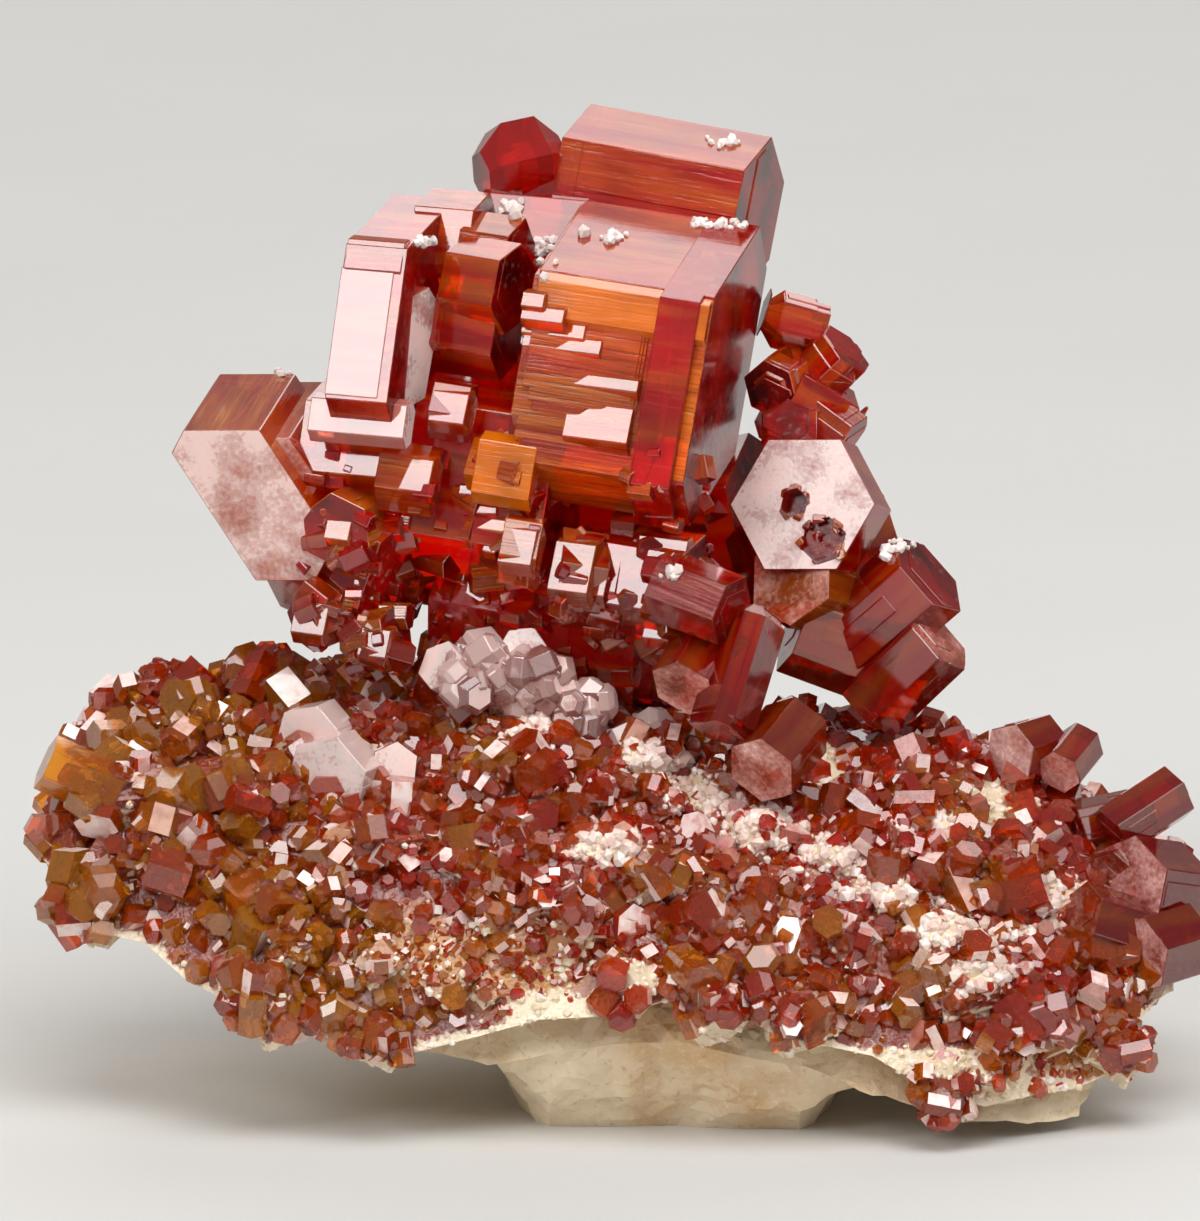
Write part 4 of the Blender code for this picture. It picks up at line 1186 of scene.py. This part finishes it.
def pit_room(tree, pit):
    """The hole of a pit, cut square to its plate."""
    room = crystal(pit.across, pit.up, 0.0, 2 * pit.deep, pit.wide, yaw=PLATE_YAW, dip=PLATE_DIP, roll=12)
    hit, _ = first_hit(tree, pit.across, pit.up)
    return room._replace(depth=shown(hit).y)


def pit_crystals(tree, pit, rng):
    """Small crystals on the floor and walls of a pit."""
    made = []
    for _ in range(pit.count):
        turn = rng.uniform(0, 2 * math.pi)
        away = pit.wide * math.sqrt(rng.random())
        side = rng.uniform(0.1, 0.3)
        small = crystal(
            pit.across + away * math.cos(turn), pit.up + away * math.sin(turn), 0.0,
            side * rng.uniform(1.2, 2.4), side,
            yaw=rng.uniform(-80, 80), dip=rng.uniform(-50, 50), roll=rng.uniform(0, 60),
            tint=rng.uniform(0.2, 0.7), frost=rng.uniform(0.2, 0.6),
        )
        hit, _ = first_hit(tree, small.across, small.up)
        if hit:
            sunk = pit.deep * (1 - (away / pit.wide) ** 2)
            made.append(small._replace(depth=shown(hit).y + sunk * rng.uniform(0.5, 1.0)))
    return made


def crowd_crystals(tree, crowd, rng):
    """Small pale crystals standing on what is seen at their places."""
    made = []
    for _ in range(crowd.count):
        side = rng.uniform(0.35, 0.8)
        small = crystal(
            crowd.across + crowd.wide * rng.uniform(-1, 1), crowd.up + crowd.high * rng.uniform(-1, 1), 0.0,
            side * rng.uniform(1.2, 2.4), side, yaw=rng.uniform(-80, 80), dip=rng.uniform(-50, 50),
            roll=rng.uniform(0, 60), bevel=0.25 * side, tint=rng.uniform(0.1, 0.5),
            frost=rng.uniform(0.93, 1.0),
        )
        placed = stood_on(tree, small, side * rng.uniform(0.4, 1.1))
        if placed:
            made.append(placed)
    return made


def seat(node, items):
    """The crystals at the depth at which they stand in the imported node."""
    tree = surface_tree([frame["nodes"][node]])
    made = [stood_on(tree, item, 0.0) for item in items]
    if None in made:
        raise RuntimeError(f"{node} isn't where its crystals are")
    return made


# How many beads a patch holds, and how flat they are.
BEADS_PER_AREA, FEWEST_BEADS, BEAD_SQUASH = 26, 6, 0.8


class AddBeads(bpy.types.Operator):
    """Adds the white beads that sit on the large crystals"""

    bl_idname = "specimen.beads"
    bl_label = "White beads"

    def execute(self, context):
        carpet = context.scene.vanadinite_carpet
        rng = random.Random(carpet.seed)
        tree = surface_tree(CLUSTER_OBJECTS.values())
        beads = bmesh.new()
        tint = []
        for patch in BEAD_PATCHES:
            for _ in range(round(BEADS_PER_AREA * patch.wide * patch.high) + FEWEST_BEADS):
                across = rng.gauss(patch.across, 0.45 * patch.wide)
                up = rng.gauss(patch.up, 0.45 * patch.high)
                hit, normal = first_hit(tree, across, up)
                size = (0.13 + 0.25 * rng.random() ** 2) * MM
                if hit is None:
                    continue
                made = crumb(rng.randrange(10000), BEAD_SQUASH)
                turn = Euler([rng.uniform(0, 6) for _ in range(3)]).to_matrix().to_4x4()
                place = Matrix.Translation(hit + normal * 0.3 * size) @ turn @ Matrix.Scale(size, 4)
                bmesh.ops.transform(made, matrix=place, verts=made.verts)
                mesh = bpy.data.meshes.new("bead")
                made.to_mesh(mesh)
                made.free()
                beads.from_mesh(mesh)
                tint += [rng.random()] * len(mesh.vertices)
                bpy.data.meshes.remove(mesh)
        material = grain_material("chalky_white_beads", carpet.bead, carpet.bead_shade, 0.55, 0.0)
        made = add_object("white_beads", beads, context.scene.collection, [material])
        layer = made.data.attributes.new("tint", "FLOAT", "POINT")
        layer.data.foreach_set("value", tint)
        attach(made, "root")
        return {"FINISHED"}


# The paper in metres: its front and back on the floor, its bend, its top and half its width.
FLOOR_FRONT, FLOOR_BACK, SWEEP, SWEEP_STEP, PAPER_TOP, PAPER_HALF = -1.2, 0.5, 0.3, 0.157, 1.4, 1.5
# Each lamp's power setting, its azimuth from the viewer to the left and height in degrees, and its
# distance, width and height in metres.
LAMPS = (
    ("lamp_behind", "back_strength", 180, 41, 0.6, 0.6, 0.34),
    ("lamp_front_left", "front_strength", 39, 34, 0.5, 0.2, 0.2),
    ("lamp_right", "right_strength", -50, 46, 0.5, 0.42, 0.42),
    ("lamp_high", "high_strength", -8, 66, 0.5, 0.4, 0.3),
)
# The camera's lens in millimetres, and where it looks: across, up and depth.
LENS = 421.2
VIEW_MIDDLE = (-0.546, 21.48, -2.0)


def aim(item, target):
    item.rotation_euler = (target - item.location).to_track_quat("-Z", "Y").to_euler()


def add_lamp(name, azimuth, elevation, distance, wide, high, power):
    """A soft lamp seen from the specimen at an azimuth, turned from the viewer to the left, and height."""
    lamp = bpy.data.lights.new(name, "AREA")
    lamp.shape = "RECTANGLE"
    lamp.size = wide
    lamp.size_y = high
    lamp.energy = power
    made = bpy.data.objects.new(name, lamp)
    bpy.context.scene.collection.objects.link(made)
    turn = math.radians(azimuth)
    rise = math.radians(elevation)
    middle = Vector((0, 0, 25 * MM))
    away = Vector((-math.sin(turn) * math.cos(rise), -math.cos(turn) * math.cos(rise), math.sin(rise)))
    made.location = middle + away * distance
    aim(made, middle)
    return made


class AddStage(bpy.types.Operator):
    """Adds the floor, the lamps and the camera"""

    bl_idname = "specimen.stage"
    bl_label = "Stage"

    def execute(self, context):
        settings = context.scene.vanadinite_stage
        maker = bmesh.new()
        turns = [k * SWEEP_STEP for k in range(1, 11)]
        profile = [(FLOOR_FRONT, 0.0), (FLOOR_BACK, 0.0)]
        profile += [(FLOOR_BACK + SWEEP * math.sin(t), SWEEP - SWEEP * math.cos(t)) for t in turns]
        profile.append((FLOOR_BACK + SWEEP, PAPER_TOP))
        rows = [[maker.verts.new((side * PAPER_HALF, y, z)) for y, z in profile] for side in (-1, 1)]
        for k in range(len(profile) - 1):
            face = maker.faces.new((rows[0][k], rows[1][k], rows[1][k + 1], rows[0][k + 1]))
            face.smooth = True
        floor = add_object("paper_floor", maker, context.scene.collection, [floor_material(settings.floor)])
        for name, power, *place in LAMPS:
            add_lamp(name, *place, getattr(settings, power))
        world = bpy.data.worlds.new("dim_room")
        world.use_nodes = True
        world.node_tree.nodes["Background"].inputs["Color"].default_value = (*linear("#E4E6EA"), 1.0)
        world.node_tree.nodes["Background"].inputs["Strength"].default_value = settings.room
        context.scene.world = world
        context.scene.view_settings.view_transform = "Standard"
        view = bpy.data.cameras.new("display_side")
        view.sensor_width = 36
        view.lens = LENS
        view.clip_end = 10
        camera = bpy.data.objects.new("display_side", view)
        context.scene.collection.objects.link(camera)
        target = TO_FLOOR @ seen_at(*VIEW_MIDDLE)
        forward = TILT.to_3x3() @ Vector((0, 1, 0))
        camera.location = target - forward * settings.distance
        camera.rotation_euler = (math.radians(90 - VIEW_TILT), 0, 0)
        context.scene.camera = camera
        return {"FINISHED"}


class SpecimenPanel(bpy.types.Panel):
    """Lists the pieces and what can be changed about them"""

    bl_idname = "VIEW3D_PT_specimen"
    bl_label = "Vanadinite on matrix"
    bl_space_type = "VIEW_3D"
    bl_region_type = "UI"
    bl_category = "Specimen"

    def draw(self, context):
        layout = self.layout
        for group in SETTINGS:
            box = layout.box()
            box.label(text=group.replace("_", " ").capitalize())
            settings = getattr(context.scene, group)
            for name in settings.bl_rna.properties.keys():
                if name not in ("rna_type", "name"):
                    box.prop(settings, name)
        for operator in OPERATORS:
            layout.operator(operator.bl_idname)


SETTINGS = {
    "vanadinite_crystals": CrystalSettings,
    "vanadinite_carpet": CarpetSettings,
    "vanadinite_rock": RockSettings,
    "vanadinite_stage": StageSettings,
}
OPERATORS = (AddStage, AddMatrixRock, AddCrust, AddSummit, AddSideClusters, AddBeads)


def register():
    for name, group in SETTINGS.items():
        bpy.utils.register_class(group)
        setattr(bpy.types.Scene, name, bpy.props.PointerProperty(type=group))
    for operator in OPERATORS:
        bpy.utils.register_class(operator)
    bpy.utils.register_class(SpecimenPanel)


def unregister():
    bpy.utils.unregister_class(SpecimenPanel)
    for operator in reversed(OPERATORS):
        bpy.utils.unregister_class(operator)
    for name, group in reversed(list(SETTINGS.items())):
        delattr(bpy.types.Scene, name)
        bpy.utils.unregister_class(group)


def main():
    register()
    bpy.ops.specimen.stage()
    bpy.ops.specimen.matrix_rock()
    bpy.ops.specimen.crust()
    bpy.ops.specimen.summit()
    bpy.ops.specimen.side_clusters()
    bpy.ops.specimen.beads()


if __name__ == "__main__":
    main()
